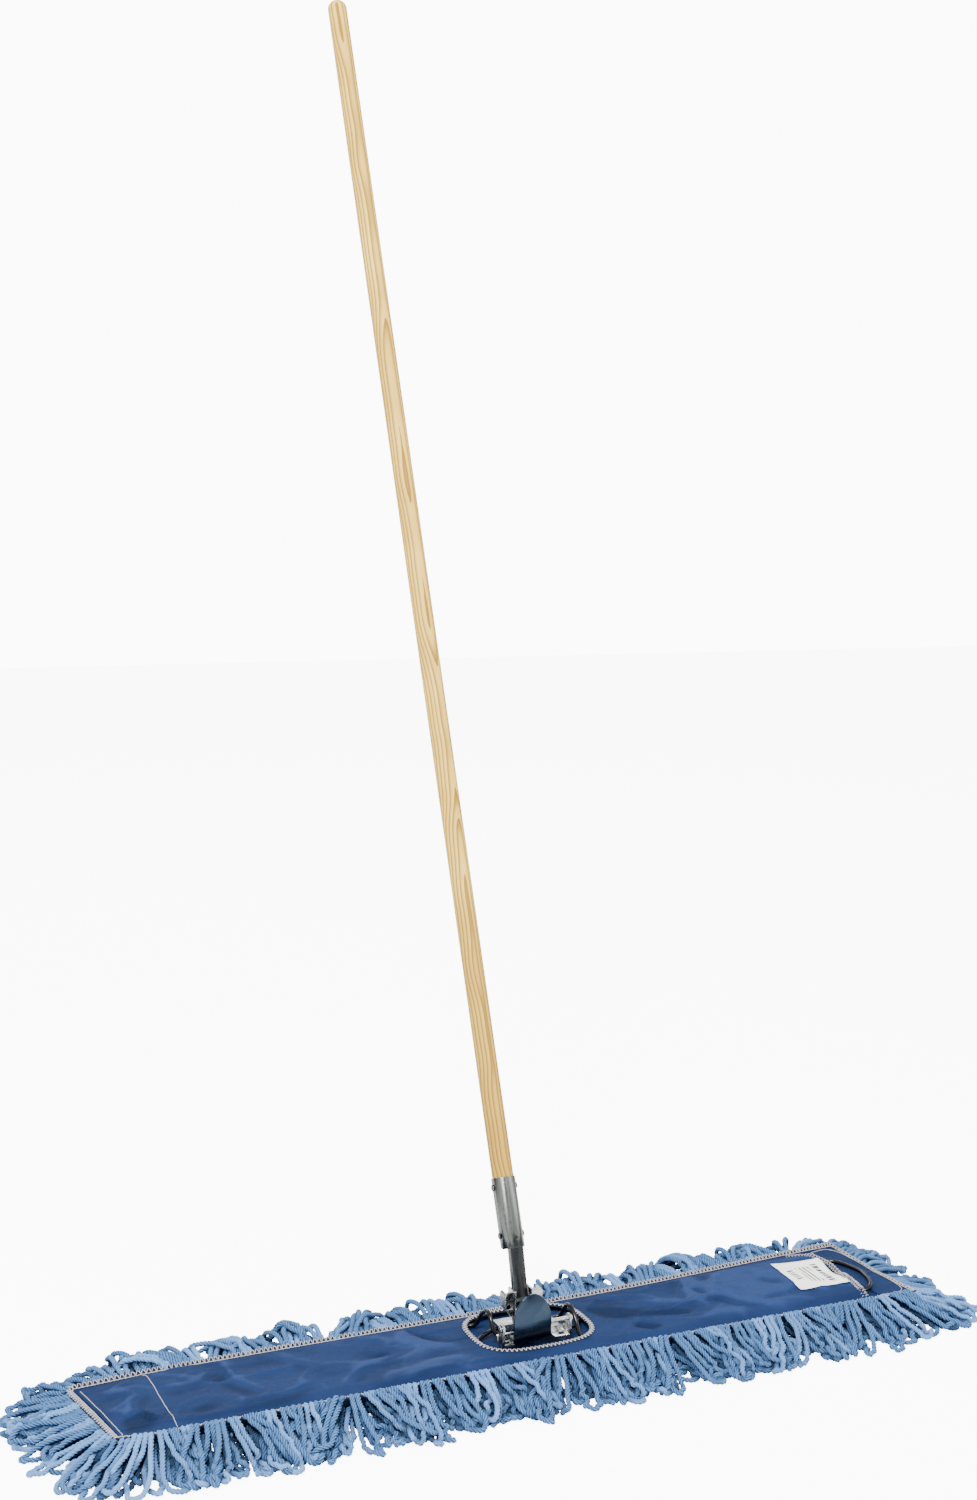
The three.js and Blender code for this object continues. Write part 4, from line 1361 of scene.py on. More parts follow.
    def piece(
        self, name: str, beads: np.ndarray, draw: np.ndarray, fineness: tuple, finish: bpy.types.Material
    ) -> bpy.types.Object:
        """Sweep some loops into one piece.

        Args:
            name: the piece's name.
            beads: their settled beads, with how deep each lies as a fourth number for the painted shade.
            draw: their random habits, the last of which is the tint.
            fineness: the distance between rings, and the length in which the plies turn once.
            finish: the yarn's material.

        Returns:
            The piece.
        """
        spacing, lay = fineness
        sampled = self.strands(beads, spacing)
        paths, depth = sampled[..., :3], np.clip(sampled[..., 3], 0, 1)
        points, quads, uv = tubes(paths, self.radius * 1.06, 8, groove=0.20, lay=lay)
        piece = quads_mesh(name, points, quads)
        strand_uv(piece, uv)
        tint = piece.data.attributes.new("tint", "FLOAT", "POINT")
        tint.data.foreach_set("value", np.repeat(draw[:, 7], paths.shape[1] * 8).astype(np.float32))
        # The depth goes on as an attribute for the painted shade of lower strands.
        under_shade = piece.data.attributes.new("painted_shade_depth", "FLOAT", "POINT")
        under_shade.data.foreach_set("value", np.repeat(depth.ravel(), 8).astype(np.float32))
        return dress(piece, finish, Body.HEAD)


@dataclass
class YarnPile:
    """The tufted underside: wavy strands laid side by side under a hidden core."""

    outline: HeadOutline
    radius: float = 0.0024
    pitch: float = 0.0047
    seed: int = 4

    def build(self, finish: bpy.types.Material) -> list[bpy.types.Object]:
        """Make the core and the strands under it.

        Args:
            finish: the yarn's material.

        Returns:
            The two pieces.
        """
        chance = np.random.default_rng(self.seed)
        count = int(2 * (self.outline.half_length - 0.006) / self.pitch)
        x0 = (np.arange(count) - (count - 1) / 2) * self.pitch
        y = np.linspace(-self.outline.half_width + 0.004, self.outline.half_width - 0.004, 40)
        phase = np.cumsum(chance.normal(0, 0.25, count))[:, None]
        x = x0[:, None] + 0.0028 * np.sin(phase + y * 95) + 0.0012 * np.sin(2.3 * phase + y * 210)
        ends = np.clip((np.abs(y) - 0.052) / 0.0125, 0, 1) ** 2
        z = self.radius + 0.0002 + 0.0012 * (1 + np.sin(phase * 3 + y * 160)) + 0.007 * ends
        paths = np.stack([x, np.broadcast_to(y, x.shape), z], axis=-1)
        points, quads, uv = tubes(self.outline.lie(paths), self.radius, 8, groove=0.22, lay=0.024)
        strands = quads_mesh("pile_strands", points, quads)
        strand_uv(strands, uv)
        tint = strands.data.attributes.new("tint", "FLOAT", "POINT")
        tint.data.foreach_set("value", np.repeat(chance.uniform(0, 1, count), 320).astype(np.float32))
        dress(strands, finish, Body.HEAD)
        bpy.ops.mesh.primitive_cube_add(size=1, location=(0, 0, 0.0143))
        core = bpy.context.object
        core.name = "pile_core"
        core.scale = (2 * self.outline.half_length - 0.024, 2 * self.outline.half_width - 0.022, 0.0194)
        settle(core)
        rounding = core.modifiers.new("rounding", "BEVEL")
        rounding.width = 0.005
        rounding.segments = 3
        apply_modifiers(core)
        core.data.uv_layers.new(name="strand")
        for vertex in core.data.vertices:
            vertex.co = self.outline.lie(np.array(vertex.co))
        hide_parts("yarn_pile")
        return [dress(core, finish, Body.HEAD), strands]


# ---------------------------------------------------------------- cloth


@dataclass
class WireRoute:
    """The frame wire's path: half of it given, the other half its point mirror."""

    middle: float = 10.0
    radius: float = 0.0024
    half: tuple = (
        (10.15, 9.5, 36), (32, 9.5, 36), (47, 9.5, 36), (53.5, 8, 39.5), (55, 3, 48), (55, -3, 54.5),
        (55, -11, 56.5), (55, -20, 51.5), (55, -28, 43), (55.5, -33.5, 34), (59, -36.5, 29.9),
        (69, -41, 29.7), (89, -49, 29.7), (115, -51, 29.7), (235, -51, 29.7), (350, -51, 29.7),
        (400, -51, 29.7), (432.66, -37.66, 29.7), (446, -5, 29.7), (446, 5, 29.7), (432.66, 37.66, 29.7),
        (400, 51, 29.7), (350, 51, 29.7), (235, 51, 29.7), (155, 51, 29.7), (121, 45, 29.7), (83, 14, 29.7),
        (63, -6, 30.3), (47, -9.5, 34.5), (36, -9.5, 36), (12, -9.5, 36),
    )  # fmt: skip

    def path(self, spacing: float = 0.002) -> np.ndarray:
        """Give the closed path, evenly sampled."""
        half = np.array(self.half)
        other = np.stack([2 * self.middle - half[:, 0], -half[:, 1], half[:, 2]], axis=1)
        return smooth_path(np.vstack([half, other]) * MM, spacing, closed=True)


@dataclass
class PocketCover:
    """The navy cover drawn over the frame, with its opening, slot edge and low folds."""

    outline: HeadOutline
    route: WireRoute
    spacing: float = 0.003
    thickness: float = 0.0007
    hem_level: float = 0.0264
    rim_level: float = 0.0329
    creases: tuple = (
        (-115, 42, -73, -1, -3.4), (-69, 8, -18, -14, -3.0), (-324, 45, -303, -24, 2.6), (-387, 15, -335, 27, 2.2),
        (-455, 1, -417, -30, 2.4), (-455, -28, -422, 8, 2.0), (-218, -37, -163, -4, 2.6), (-167, 58, -146, 28, 2.0),
        (232, 52, 221, -13, 2.8), (165, 12, 251, -1, 2.4), (133, -30, 141, -62, -2.4), (236, 34, 300, -56, 3.4),
        (307, 50, 252, 19, 2.4), (-337, -44, -262, -30, 2.2), (-271, 46, -222, 10, 2.2), (110, 56, 172, 24, 2.2),
        (282, -26, 344, -4, 2.0), (-160, -50, -90, -34, 2.0), (-440, 40, -404, 18, 1.8), (330, 30, 372, -30, 2.0),
    )  # fmt: skip
    columns: int = 296
    lines: int = 43
    grid: np.ndarray = field(default_factory=lambda: np.zeros(0))
    crest: np.ndarray = field(default_factory=lambda: np.zeros(0))

    def plan(self) -> np.ndarray:
        """Give the flat grid of the cover between its left hem and its slot edge.

        Returns:
            Array of (line, column, 2): each point's x and y.
        """
        y = np.linspace(-self.outline.cover_half_width, self.outline.cover_half_width, self.lines)
        slot = self.outline.slot_path()
        right = np.interp(y, slot[:, 1], slot[:, 0])
        inset = np.clip(np.abs(y) - (self.outline.cover_half_width - 0.008), 0, None)
        left = self.outline.cover_left + 0.008 - np.sqrt(np.clip(0.008**2 - inset**2, 0, None))
        share = np.linspace(0, 1, self.columns)[None]
        x = left[:, None] * (1 - share) + right[:, None] * share
        return np.stack([x, np.broadcast_to(y[:, None], x.shape)], axis=-1)

    def folds(self, x: np.ndarray, y: np.ndarray) -> np.ndarray:
        """Give the folds' height at each point: drawn creases over a faint unevenness.

        Args:
            x: the points' places along the head.
            y: their places across it.

        Returns:
            One height for each point.
        """
        height = np.zeros_like(x)
        for i in np.ndindex(x.shape):
            px, py = float(x[i]), float(y[i])
            a = noise.noise(Vector((px * 12 + py * 14, py * 20 - px * 6, 0.3)))
            b = noise.noise(Vector((px * 26 - py * 24, py * 40 + px * 12, 4.1)))
            c = noise.noise(Vector((px * 5, py * 9, 8.7)))
            height[i] = 0.0046 * (0.7 - 2.8 * abs(a)) ** 3 + 0.0007 * (1 - 2.6 * abs(b)) ** 3 + 0.0026 * c
        for x0, y0, x1, y1, size in np.array(self.creases) * MM:
            length = math.hypot(x1 - x0, y1 - y0)
            along = ((x - x0) * (x1 - x0) + (y - y0) * (y1 - y0)) / length**2
            off = ((x - x0) * (y1 - y0) - (y - y0) * (x1 - x0)) / length + 0.004 * np.sin(5 * along + 90 * x0)
            fade = np.clip(np.minimum(along + 0.3, 1.3 - along) / 0.45, 0, 1)
            crest = np.exp(-np.abs(off) / 0.0065) - 0.6 * np.exp(-(((off - 0.013) / 0.009) ** 2))
            height += size * fade**2 * (3 - 2 * fade) * crest
        return height

    def shape(self) -> np.ndarray:
        """Stretch the cover like a film over the wires and add its folds.

        Returns:
            The grid of points.
        """
        flat = self.plan()
        x, y = flat[..., 0], flat[..., 1]
        laid = self.outline.lie(flat)
        wire = self.route.path(0.003)
        wire = wire[(wire[:, 2] < 0.031)]
        near = np.full(x.shape, 1.0)
        for start in range(0, len(wire), 64):
            part = wire[start : start + 64]
            d = np.hypot(laid[..., 0, None] - part[:, 0], laid[..., 1, None] - part[:, 1]).min(-1)
            near = np.minimum(near, d)
        lift = self.route.radius + self.thickness
        bearing = 0.0297 + np.sqrt(np.clip(lift**2 - near**2, 0, None)) * 1.02
        bearing = np.where(near < lift, bearing, 0.0262)
        hole = self.outline.in_opening(x, y, 0.0045)
        z = np.full(x.shape, 0.0315)
        edge = np.zeros(x.shape, dtype=bool)
        edge[0], edge[-1], edge[:, 0] = True, True, True
        for _ in range(900):
            wide = np.pad(z, 1, mode="edge")
            mean = (wide[:-2, 1:-1] + wide[2:, 1:-1] + wide[1:-1, :-2] + wide[1:-1, 2:]) / 4
            z = np.maximum(mean, bearing)
            z[edge] = self.hem_level
            z[hole] = self.rim_level
        from_hem = np.minimum(self.outline.cover_half_width - np.abs(y), x - self.outline.cover_left)
        free = np.clip(from_hem / 0.02, 0, 1)
        ring = np.hypot(
            (x - self.outline.opening_centre[0]) / 0.085, (y - self.outline.opening_centre[1]) / 0.06
        )
        free = free * np.clip((ring - 0.85) / 0.5, 0.15, 1)
        raised = self.folds(x, y) * free
        # The crest share sets the cloth's painted highlight on fold crests and painted shade in their troughs.
        self.crest = np.clip(raised / 0.0022, -1, 1)
        z = np.maximum(z + raised, bearing)
        self.grid = np.stack([x, y, z], axis=-1)
        return self.grid

    def level(self, x: np.ndarray, y: np.ndarray) -> np.ndarray:
        """Give the cover's top at points, from the nearest grid points.

        Args:
            x: the points' places along the head.
            y: the points' places across it.

        Returns:
            The height at each point.
        """
        flat = self.grid.reshape(-1, 3)
        result = []
        for px, py in zip(np.ravel(x), np.ravel(y)):
            d = (flat[:, 0] - px) ** 2 + (flat[:, 1] - py) ** 2
            best = np.argpartition(d, 4)[:4]
            weight = 1 / (d[best] + 1e-8)
            result.append((flat[best, 2] * weight).sum() / weight.sum())
        return np.array(result).reshape(np.shape(x)) + self.thickness * 0.5

    def build(self, finish: bpy.types.Material) -> bpy.types.Object:
        """Make the cover as one thin sheet with a round-edged opening.

        Args:
            finish: the cloth's material.

        Returns:
            The cover.
        """
        grid = self.shape()
        quads = grid_quads(grid.shape[:2])
        points = grid.reshape(-1, 3)
        middle = points[quads].mean(1)
        quads = quads[~self.outline.in_opening(middle[:, 0], middle[:, 1])]
        used, again = np.unique(quads, return_inverse=True)
        quads = again.reshape(quads.shape)
        points = points[used]
        side, many = np.unique(
            np.sort(np.concatenate([quads[:, [0, 1]], quads[:, [1, 2]], quads[:, [2, 3]], quads[:, [3, 0]]]), axis=1),
            axis=0,
            return_counts=True,
        )
        loose = np.unique(side[many == 1])
        loose = loose[self.outline.in_opening(points[loose, 0], points[loose, 1], 0.012)]
        rim = self.outline.opening(count=1600)
        for v in loose:
            best = rim[np.argmin(((rim[:, :2] - points[v, :2]) ** 2).sum(1))]
            points[v, :2] = best[:2]
        cover = quads_mesh("cover_cloth", self.outline.lie(points), quads)
        # The crest share goes on as an attribute for the folds' painted highlight and painted shade.
        crest = cover.data.attributes.new("crest", "FLOAT", "POINT")
        crest.data.foreach_set("value", self.crest.ravel()[used].astype(np.float32))
        wall = cover.modifiers.new("wall", "SOLIDIFY")
        wall.thickness = self.thickness
        wall.offset = 0.0
        apply_modifiers(cover)
        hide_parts("pocket_cover")
        return dress(cover, finish, Body.HEAD)


@dataclass
class BackingCloth:
    """The flat backing that carries the yarn, and the plain flap past the slot."""

    outline: HeadOutline

    def sheet(
        self, name: str, low: tuple, high: tuple, corner: float, level: float, thick: float
    ) -> bpy.types.Object:
        """Make a flat, slightly uneven sheet with rounded corners.

        Args:
            name: the sheet's name.
            low: its lowest x and y.
            high: its highest x and y.
            corner: its corners' radius.
            level: the height of its middle.
            thick: its thickness.

        Returns:
            The sheet.
        """
        lines = max(int((high[1] - low[1]) / 0.004), 4)
        columns = max(int((high[0] - low[0]) / 0.004), 4)
        y = np.linspace(low[1], high[1], lines + 1)
        inset = np.clip(corner - np.minimum(y - low[1], high[1] - y), 0, None)
        cut = corner - np.sqrt(np.clip(corner**2 - inset**2, 0, None))
        share = np.linspace(0, 1, columns + 1)[None]
        x = (low[0] + cut)[:, None] * (1 - share) + (high[0] - cut)[:, None] * share
        ys = np.broadcast_to(y[:, None], x.shape)
        z = level + 0.0001 * np.sin(x * 60) * np.sin(ys * 90 + 1)
        quads = grid_quads(x.shape)
        piece = quads_mesh(name, self.outline.lie(np.stack([x, ys, z], -1).reshape(-1, 3)), quads)
        wall = piece.modifiers.new("wall", "SOLIDIFY")
        wall.thickness = thick
        wall.offset = 0.0
        apply_modifiers(piece)
        return piece

    def build(self, finish: bpy.types.Material) -> list[bpy.types.Object]:
        """Make the backing and the flap.

        Args:
            finish: the cloth's material.

        Returns:
            The backing, then the flap.
        """
        half = (self.outline.half_length, self.outline.half_width)
        middle = (self.outline.cloth_bottom + self.outline.cloth_top) / 2
        backing = self.sheet("backing_cloth", (-half[0], -half[1]), half, self.outline.corner, middle, 0.0011)
        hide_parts("base_cloth")
        low, high = node_box("end_flap")
        flap = self.sheet("flap_cloth", tuple(low[:2]), tuple(high[:2]), 0.009, 0.0264, 0.0009)
        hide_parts("end_flap")
        return [dress(p, finish, Body.HEAD) for p in (backing, flap)]


@dataclass
class CareLabel:
    """The white woven label, curling a little at its corners."""

    cover: PocketCover
    centre: tuple = (0.379, 0.003)
    size: float = 0.064
    turn: float = math.radians(-4)
    divisions: int = 24

    def build(self, finish: bpy.types.Material) -> bpy.types.Object:
        """Make the label on the cover's top.

        Args:
            finish: the label's material.

        Returns:
            The label.
        """
        share = np.linspace(-0.5, 0.5, self.divisions + 1)
        u, v = np.meshgrid(share, share, indexing="xy")
        x = self.centre[0] + self.size * (u * math.cos(self.turn) - v * math.sin(self.turn))
        y = self.centre[1] + self.size * (u * math.sin(self.turn) + v * math.cos(self.turn))
        base = self.cover.level(x, y)
        smooth = base.copy()
        for _ in range(12):
            wide = np.pad(smooth, 1, mode="edge")
            smooth = (wide[:-2, 1:-1] + wide[2:, 1:-1] + wide[1:-1, :-2] + wide[1:-1, 2:]) / 4
        curl = 0.0012 * np.clip(np.hypot(u, v) - 0.42, 0, None) / 0.28
        z = np.maximum(smooth, base) + 0.0004 + curl
        quads = grid_quads(x.shape)
        label = quads_mesh("label_cloth", self.cover.outline.lie(np.stack([x, y, z], -1).reshape(-1, 3)), quads)
        layer = label.data.uv_layers.new(name="label")
        uv = np.stack([u + 0.5, v + 0.5], -1).reshape(-1, 2)[quads.ravel()]
        layer.data.foreach_set("uv", uv.astype(np.float32).ravel())
        wall = label.modifiers.new("wall", "SOLIDIFY")
        wall.thickness = 0.0003
        wall.offset = 1.0
        apply_modifiers(label)
        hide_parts("care_label")
        return dress(label, finish, Body.HEAD)


# ---------------------------------------------------------------- stitching


@dataclass
class Stitching:
    """The overlocked edges and the straight seams, in thread."""

    outline: HeadOutline
    cover: PocketCover
    finish: bpy.types.Material
    bed_finish: bpy.types.Material

    def thread(
        self, name: str, path: np.ndarray, radius: float, closed: bool = False, sides: int = 5
    ) -> bpy.types.Object:
        """Sweep one thread along a path.

        Args:
            name: the piece's name.
            path: its points.
            radius: its radius.
            closed: whether it joins its start.
            sides: its section's sides.

        Returns:
            The thread.
        """
        points, quads, uv = tubes(self.outline.lie(path)[None], radius, sides, closed=closed)
        faces = quads if closed else capped(quads, 1, len(path), sides)
        piece = quads_mesh(name, points, quads) if closed else add_mesh(name, points, faces)
        strand_uv(piece, uv)
        piece.data.shade_smooth()
        return dress(piece, self.finish, Body.HEAD)

    def zigzag(self, path: np.ndarray, inner: float, outer: float, height: np.ndarray, closed: bool) -> np.ndarray:
        """Turn a line of stitch places into a zigzag thread path that crowns over the band.

        Args:
            path: one place for each stitch.
            inner: the distance to its right where stitches start.
            outer: the distance to its right where they end.
            height: the level under each place.
            closed: whether the line is closed.

        Returns:
            The thread's points.
        """
        right = side_directions(path, closed)
        follow = np.roll(path, -1, 0) if closed else np.vstack([path[1:], 2 * path[-1] - path[-2]])
        step = follow - path
        rows = []
        turns = (
            (0.0, 0.0, -0.0002),
            (0.2, 0.5, 0.0006),
            (0.42, 1.0, -0.0002),
            (0.5, 1.0, -0.0004),
            (0.72, 0.5, 0.0006),
            (0.95, 0.0, -0.0002),
        )
        for share, side, rise in turns:
            spot = path + step * share + right * (inner + (outer - inner) * side)
            spot[:, 2] = height + rise
            rows.append(spot)
        return np.stack(rows, axis=1).reshape(-1, 3)

    def band(
        self,
        name: str,
        path: np.ndarray,
        inner: float,
        outer: float,
        height: np.ndarray,
        thick: float,
        closed: bool,
    ) -> bpy.types.Object:
        """Lay the flat bed of crossed thread under the zigzag.

        Args:
            name: the piece's name.
            path: the line it follows.
            inner: the distance to its right where the bed starts.
            outer: the distance to its right where it ends.
            height: the level of its top at each place.
            thick: its thickness.
            closed: whether the line is closed.

        Returns:
            The bed.
        """
        right = side_directions(path, closed)
        section = ((0, 0.35), (0.12, 0.9), (0.5, 1.0), (0.88, 0.9), (1, 0.35), (0.9, 0), (0.1, 0))
        points = []
        for across, up in section:
            spot = path + right * (inner + (outer - inner) * across)
            spot[:, 2] = height - thick * (1 - up)
            points.append(spot)
        points = np.stack(points, axis=1)
        count, sides = points.shape[:2]
        rings = count if closed else count - 1
        i, k = np.meshgrid(np.arange(rings), np.arange(sides), indexing="ij")
        corners = ((i, k), (i, (k + 1) % sides), ((i + 1) % count, (k + 1) % sides), ((i + 1) % count, k))
        quads = np.stack([a * sides + b for a, b in corners], -1).reshape(-1, 4)
        along = np.concatenate([[0], np.cumsum(np.linalg.norm(np.diff(path, axis=0), axis=1))])
        along = np.append(along, along[-1] + 0.001)
        uv = np.stack([np.stack([along[i + a], (k + b) / sides], -1) for a, b in ((0, 0), (0, 1), (1, 1), (1, 0))], -2)
        faces = quads.tolist()
        if not closed:
            faces += [list(range(sides)), list(range((count - 1) * sides + sides - 1, (count - 1) * sides - 1, -1))]
        piece = add_mesh(name, self.outline.lie(points.reshape(-1, 3)), faces)
        strand_uv(piece, uv.reshape(-1, 2))
        face_outwards(piece)
        piece.data.shade_smooth()
        return dress(piece, self.bed_finish, Body.HEAD)

    def edge(self) -> list[bpy.types.Object]:
        """Overlock the backing's whole edge.

        Returns:
            The pieces made.
        """
        path = self.outline.backing(0.0, 0.0050)
        level = np.full(len(path), self.outline.cloth_top)
        fine = self.outline.backing(0.0, 0.0025)
        bed = self.band("edge_bed", fine, -0.0044, 0.0006, np.full(len(fine), 0.0264), 0.0024, True)
        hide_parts("edge_stitching")
        over = self.thread("edge_overlock", self.zigzag(path, -0.0048, 0.0006, level + 0.0012, True), 0.00052, True)
        needle = self.outline.backing(0.0050, 0.0012)
        needle[:, 2] = 0.0266 + 0.00025 * np.sin(np.arange(len(needle)) * np.pi * 2 / 3)
        line = self.thread("edge_needle_line", needle, 0.00050, True)
        return [bed, over, line]

    def hem(self) -> list[bpy.types.Object]:
        """Run the straight white seams on the cover's short left end and along the flap.

        Returns:
            The pieces made.
        """
        pieces = []
        y = np.arange(-0.056, 0.0561, 0.0012)
        x = np.full(len(y), self.outline.cover_left + 0.004)
        z = self.cover.level(x, y) + 0.0002 + 0.0002 * np.sin(np.arange(len(y)) * np.pi / 1.5)
        pieces.append(self.thread("left_end_seam", np.stack([x, y, z], 1), 0.00045))
        low, high = node_box("end_flap")
        start = 0.4285
        loop = np.array(
            [
                (start, low[1] + 0.003, 0),
                (high[0] - 0.012, low[1] + 0.003, 0),
                (high[0] - 0.003, low[1] + 0.013, 0),
                (high[0] - 0.003, high[1] - 0.013, 0),
                (high[0] - 0.012, high[1] - 0.003, 0),
                (start, high[1] - 0.003, 0),
            ]
        )
        path = smooth_path(loop, 0.0012)
        path[:, 2] = 0.0272 + 0.0002 * np.sin(np.arange(len(path)) * np.pi / 1.5)
        pieces.append(self.thread("flap_seam", path, 0.00045))
        return pieces

    def opening(self) -> list[bpy.types.Object]:
        """Bind the rim of the opening.

        Returns:
            The pieces made.
        """
        fine = self.outline.opening(0.0, 190)
        rim = self.cover.rim_level + self.cover.thickness
        wave = 0.0002 * np.sin(np.arange(len(fine)) * 0.35)
        bed = self.band("opening_bed", fine, -0.0008, 0.0041, rim + 0.0007 + wave, 0.0022, True)
        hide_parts("opening_stitching")
        path = self.outline.opening(0.0, 80)
        level = np.full(len(path), rim + 0.0011)
        over = self.thread("opening_overlock", self.zigzag(path, -0.0010, 0.0046, level, True), 0.00055, True)
        return [bed, over]

    def slot(self) -> list[bpy.types.Object]:
        """Bind the slot edge and run its inner zigzag.

        Returns:
            The pieces made.
        """
        fine = self.outline.slot_path(0.002)[2:-2]
        level = self.cover.level(fine[:, 0] - 0.001, fine[:, 1])
        bed = self.band("slot_bed", fine, -0.0032, 0.0007, level + 0.0006, 0.0018, False)
        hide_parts("slot_stitching")
        path = self.outline.slot_path(0.0036)[1:-1]
        level = self.cover.level(path[:, 0] - 0.001, path[:, 1])
        over = self.thread("slot_overlock", self.zigzag(path, -0.0036, 0.0008, level + 0.0009, False), 0.0005)
        inner = self.zigzag(path, -0.0075, -0.0045, level + 0.0006, False)
        return [bed, over, self.thread("slot_zigzag", inner, 0.00042)]

    def crosses(self) -> list[bpy.types.Object]:
        """Run the seam across the cover near its left end, and the short one on the flap.

        Returns:
            The pieces made.
        """
        y = np.arange(-0.060, 0.0601, 0.0012)
        x = -0.400 + 0.0012 * np.sin(y * 40)
        z = self.cover.level(x, y) + 0.0002 + 0.0002 * np.sin(np.arange(len(y)) * np.pi / 1.5)
        seam = self.thread("cross_seam_thread", np.stack([x, y, z], 1), 0.00045)
        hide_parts("cross_seam")
        y = np.arange(0.046, 0.0601, 0.0012)
        short = np.stack([np.full(len(y), 0.4275), y, np.full(len(y), 0.0271)], 1)
        return [seam, self.thread("flap_tack", short, 0.00045)]

    def build(self) -> list[bpy.types.Object]:
        """Make all of the stitching and return its pieces."""
        return self.edge() + self.hem() + self.opening() + self.slot() + self.crosses()


def face_outwards(piece: bpy.types.Object) -> None:
    """Turn a closed piece's faces outwards."""
    activate(piece)
    bpy.ops.object.mode_set(mode="EDIT")
    bpy.ops.mesh.select_all(action="SELECT")
    bpy.ops.mesh.normals_make_consistent(inside=False)
    bpy.ops.object.mode_set(mode="OBJECT")


# ---------------------------------------------------------------- metal


def refine(
    node: str, name: str, bevel: float, merge_flat: float = 2.0, round_angle: float = 32.0
) -> bpy.types.Object:
    """Copy a CAD node, merge it, and break its sharp edges.

    Args:
        node: the node.
        name: the new piece's name.
        bevel: the width of the broken edges, or 0 for none.
        merge_flat: faces that meet within this angle, in degrees, become one.
        round_angle: edges under this angle, in degrees, shade smooth.

    Returns:
        The new piece, which replaces the node.
    """
    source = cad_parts[node]
    data = source.data.copy()
    piece = bpy.data.objects.new(name, data)
    bpy.context.scene.collection.objects.link(piece)
    activate(piece)
    bpy.ops.object.mode_set(mode="EDIT")
    bpy.ops.mesh.select_all(action="SELECT")
    bpy.ops.mesh.remove_doubles(threshold=0.00001)
    bpy.ops.mesh.dissolve_limited(angle_limit=math.radians(merge_flat))
    bpy.ops.object.mode_set(mode="OBJECT")
    if bevel:
        edge = piece.modifiers.new("broken_edge", "BEVEL")
        edge.width = bevel
        edge.segments = 2
        edge.limit_method = "ANGLE"
        edge.angle_limit = math.radians(35)
        edge.use_clamp_overlap = True
        apply_modifiers(piece)
    activate(piece)
    bpy.ops.object.shade_smooth_by_angle(angle=math.radians(round_angle))
    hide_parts(node)
    return piece


@dataclass
class SteelParts:
    """The frame wire, the clip and its foot lever, the swivel, and the ferrule."""

    route: WireRoute
    zinc: bpy.types.Material
    galvanised: bpy.types.Material
    spring: bpy.types.Material
    wire: bpy.types.Material

    def frame_wire(self) -> bpy.types.Object:
        """Bend the frame from one round wire.

        Returns:
            The wire.
        """
        curve = bpy.data.curves.new("frame_wire_bent", "CURVE")
        curve.dimensions = "3D"
        curve.bevel_depth = self.route.radius
        curve.bevel_resolution = 4
        line = curve.splines.new("POLY")
        path = self.route.path(0.0025)
        line.points.add(len(path) - 1)
        line.points.foreach_set("co", np.hstack([path, np.ones((len(path), 1))]).ravel())
        line.use_cyclic_u = True
        piece = bpy.data.objects.new("frame_wire_bent", curve)
        bpy.context.scene.collection.objects.link(piece)
        activate(piece)
        bpy.ops.object.convert(target="MESH")
        piece = bpy.context.object
        piece.data.shade_smooth()
        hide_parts("frame_wire")
        return dress(piece, self.wire, Body.HEAD)

    def build(self) -> list[bpy.types.Object]:
        """Make every steel piece.

        Returns:
            The pieces made.
        """
        rows = (
            ("clip_base", "clip_plate", 0.0004, self.zinc, "zinc", Body.HEAD),
            ("lever_pin", "lever_pin_bright", 0.0004, self.zinc, "zinc", Body.HEAD),
            ("lever_spring", "lever_coil", 0.0, self.spring, "spring_steel", Body.HEAD),
            ("swivel_bushing", "bushing_turned", 0.0003, self.zinc, "zinc", Body.HEAD),
            ("swivel_washer", "washer_pressed", 0.0003, self.zinc, "zinc", Body.HEAD),
            ("swivel_rivet", "rivet_headed", 0.0004, self.zinc, "zinc", Body.HEAD),
            # The bright zinc foot lever takes the dark blue spring finish, a painted reflection of the navy cloth.
            ("clip_lever", "foot_lever", 0.0004, self.spring, "zinc", Body.LEVER),
            ("swivel_yoke", "yoke_bent", 0.0005, self.zinc, "zinc", Body.YOKE),
            ("tilt_pin", "tilt_pin_headed", 0.0004, self.zinc, "zinc", Body.YOKE),
            ("tilt_washer_left", "tilt_washer_bright_left", 0.0002, self.zinc, "zinc", Body.YOKE),
            ("tilt_washer_right", "tilt_washer_bright_right", 0.0002, self.zinc, "zinc", Body.YOKE),
            ("ferrule", "ferrule_pressed", 0.0005, self.galvanised, "galvanised", Body.HANDLE),
            ("ferrule_rivet_upper", "ferrule_rivet_headed_upper", 0.0003, self.galvanised, "galvanised", Body.HANDLE),
            ("ferrule_rivet_lower", "ferrule_rivet_headed_lower", 0.0003, self.galvanised, "galvanised", Body.HANDLE),
        )
        pieces = [self.frame_wire()]
        for node, name, bevel, finish, slot, body in rows:
            pieces.append(dress(refine(node, name, bevel), finish, body))
        return pieces


# ---------------------------------------------------------------- wood


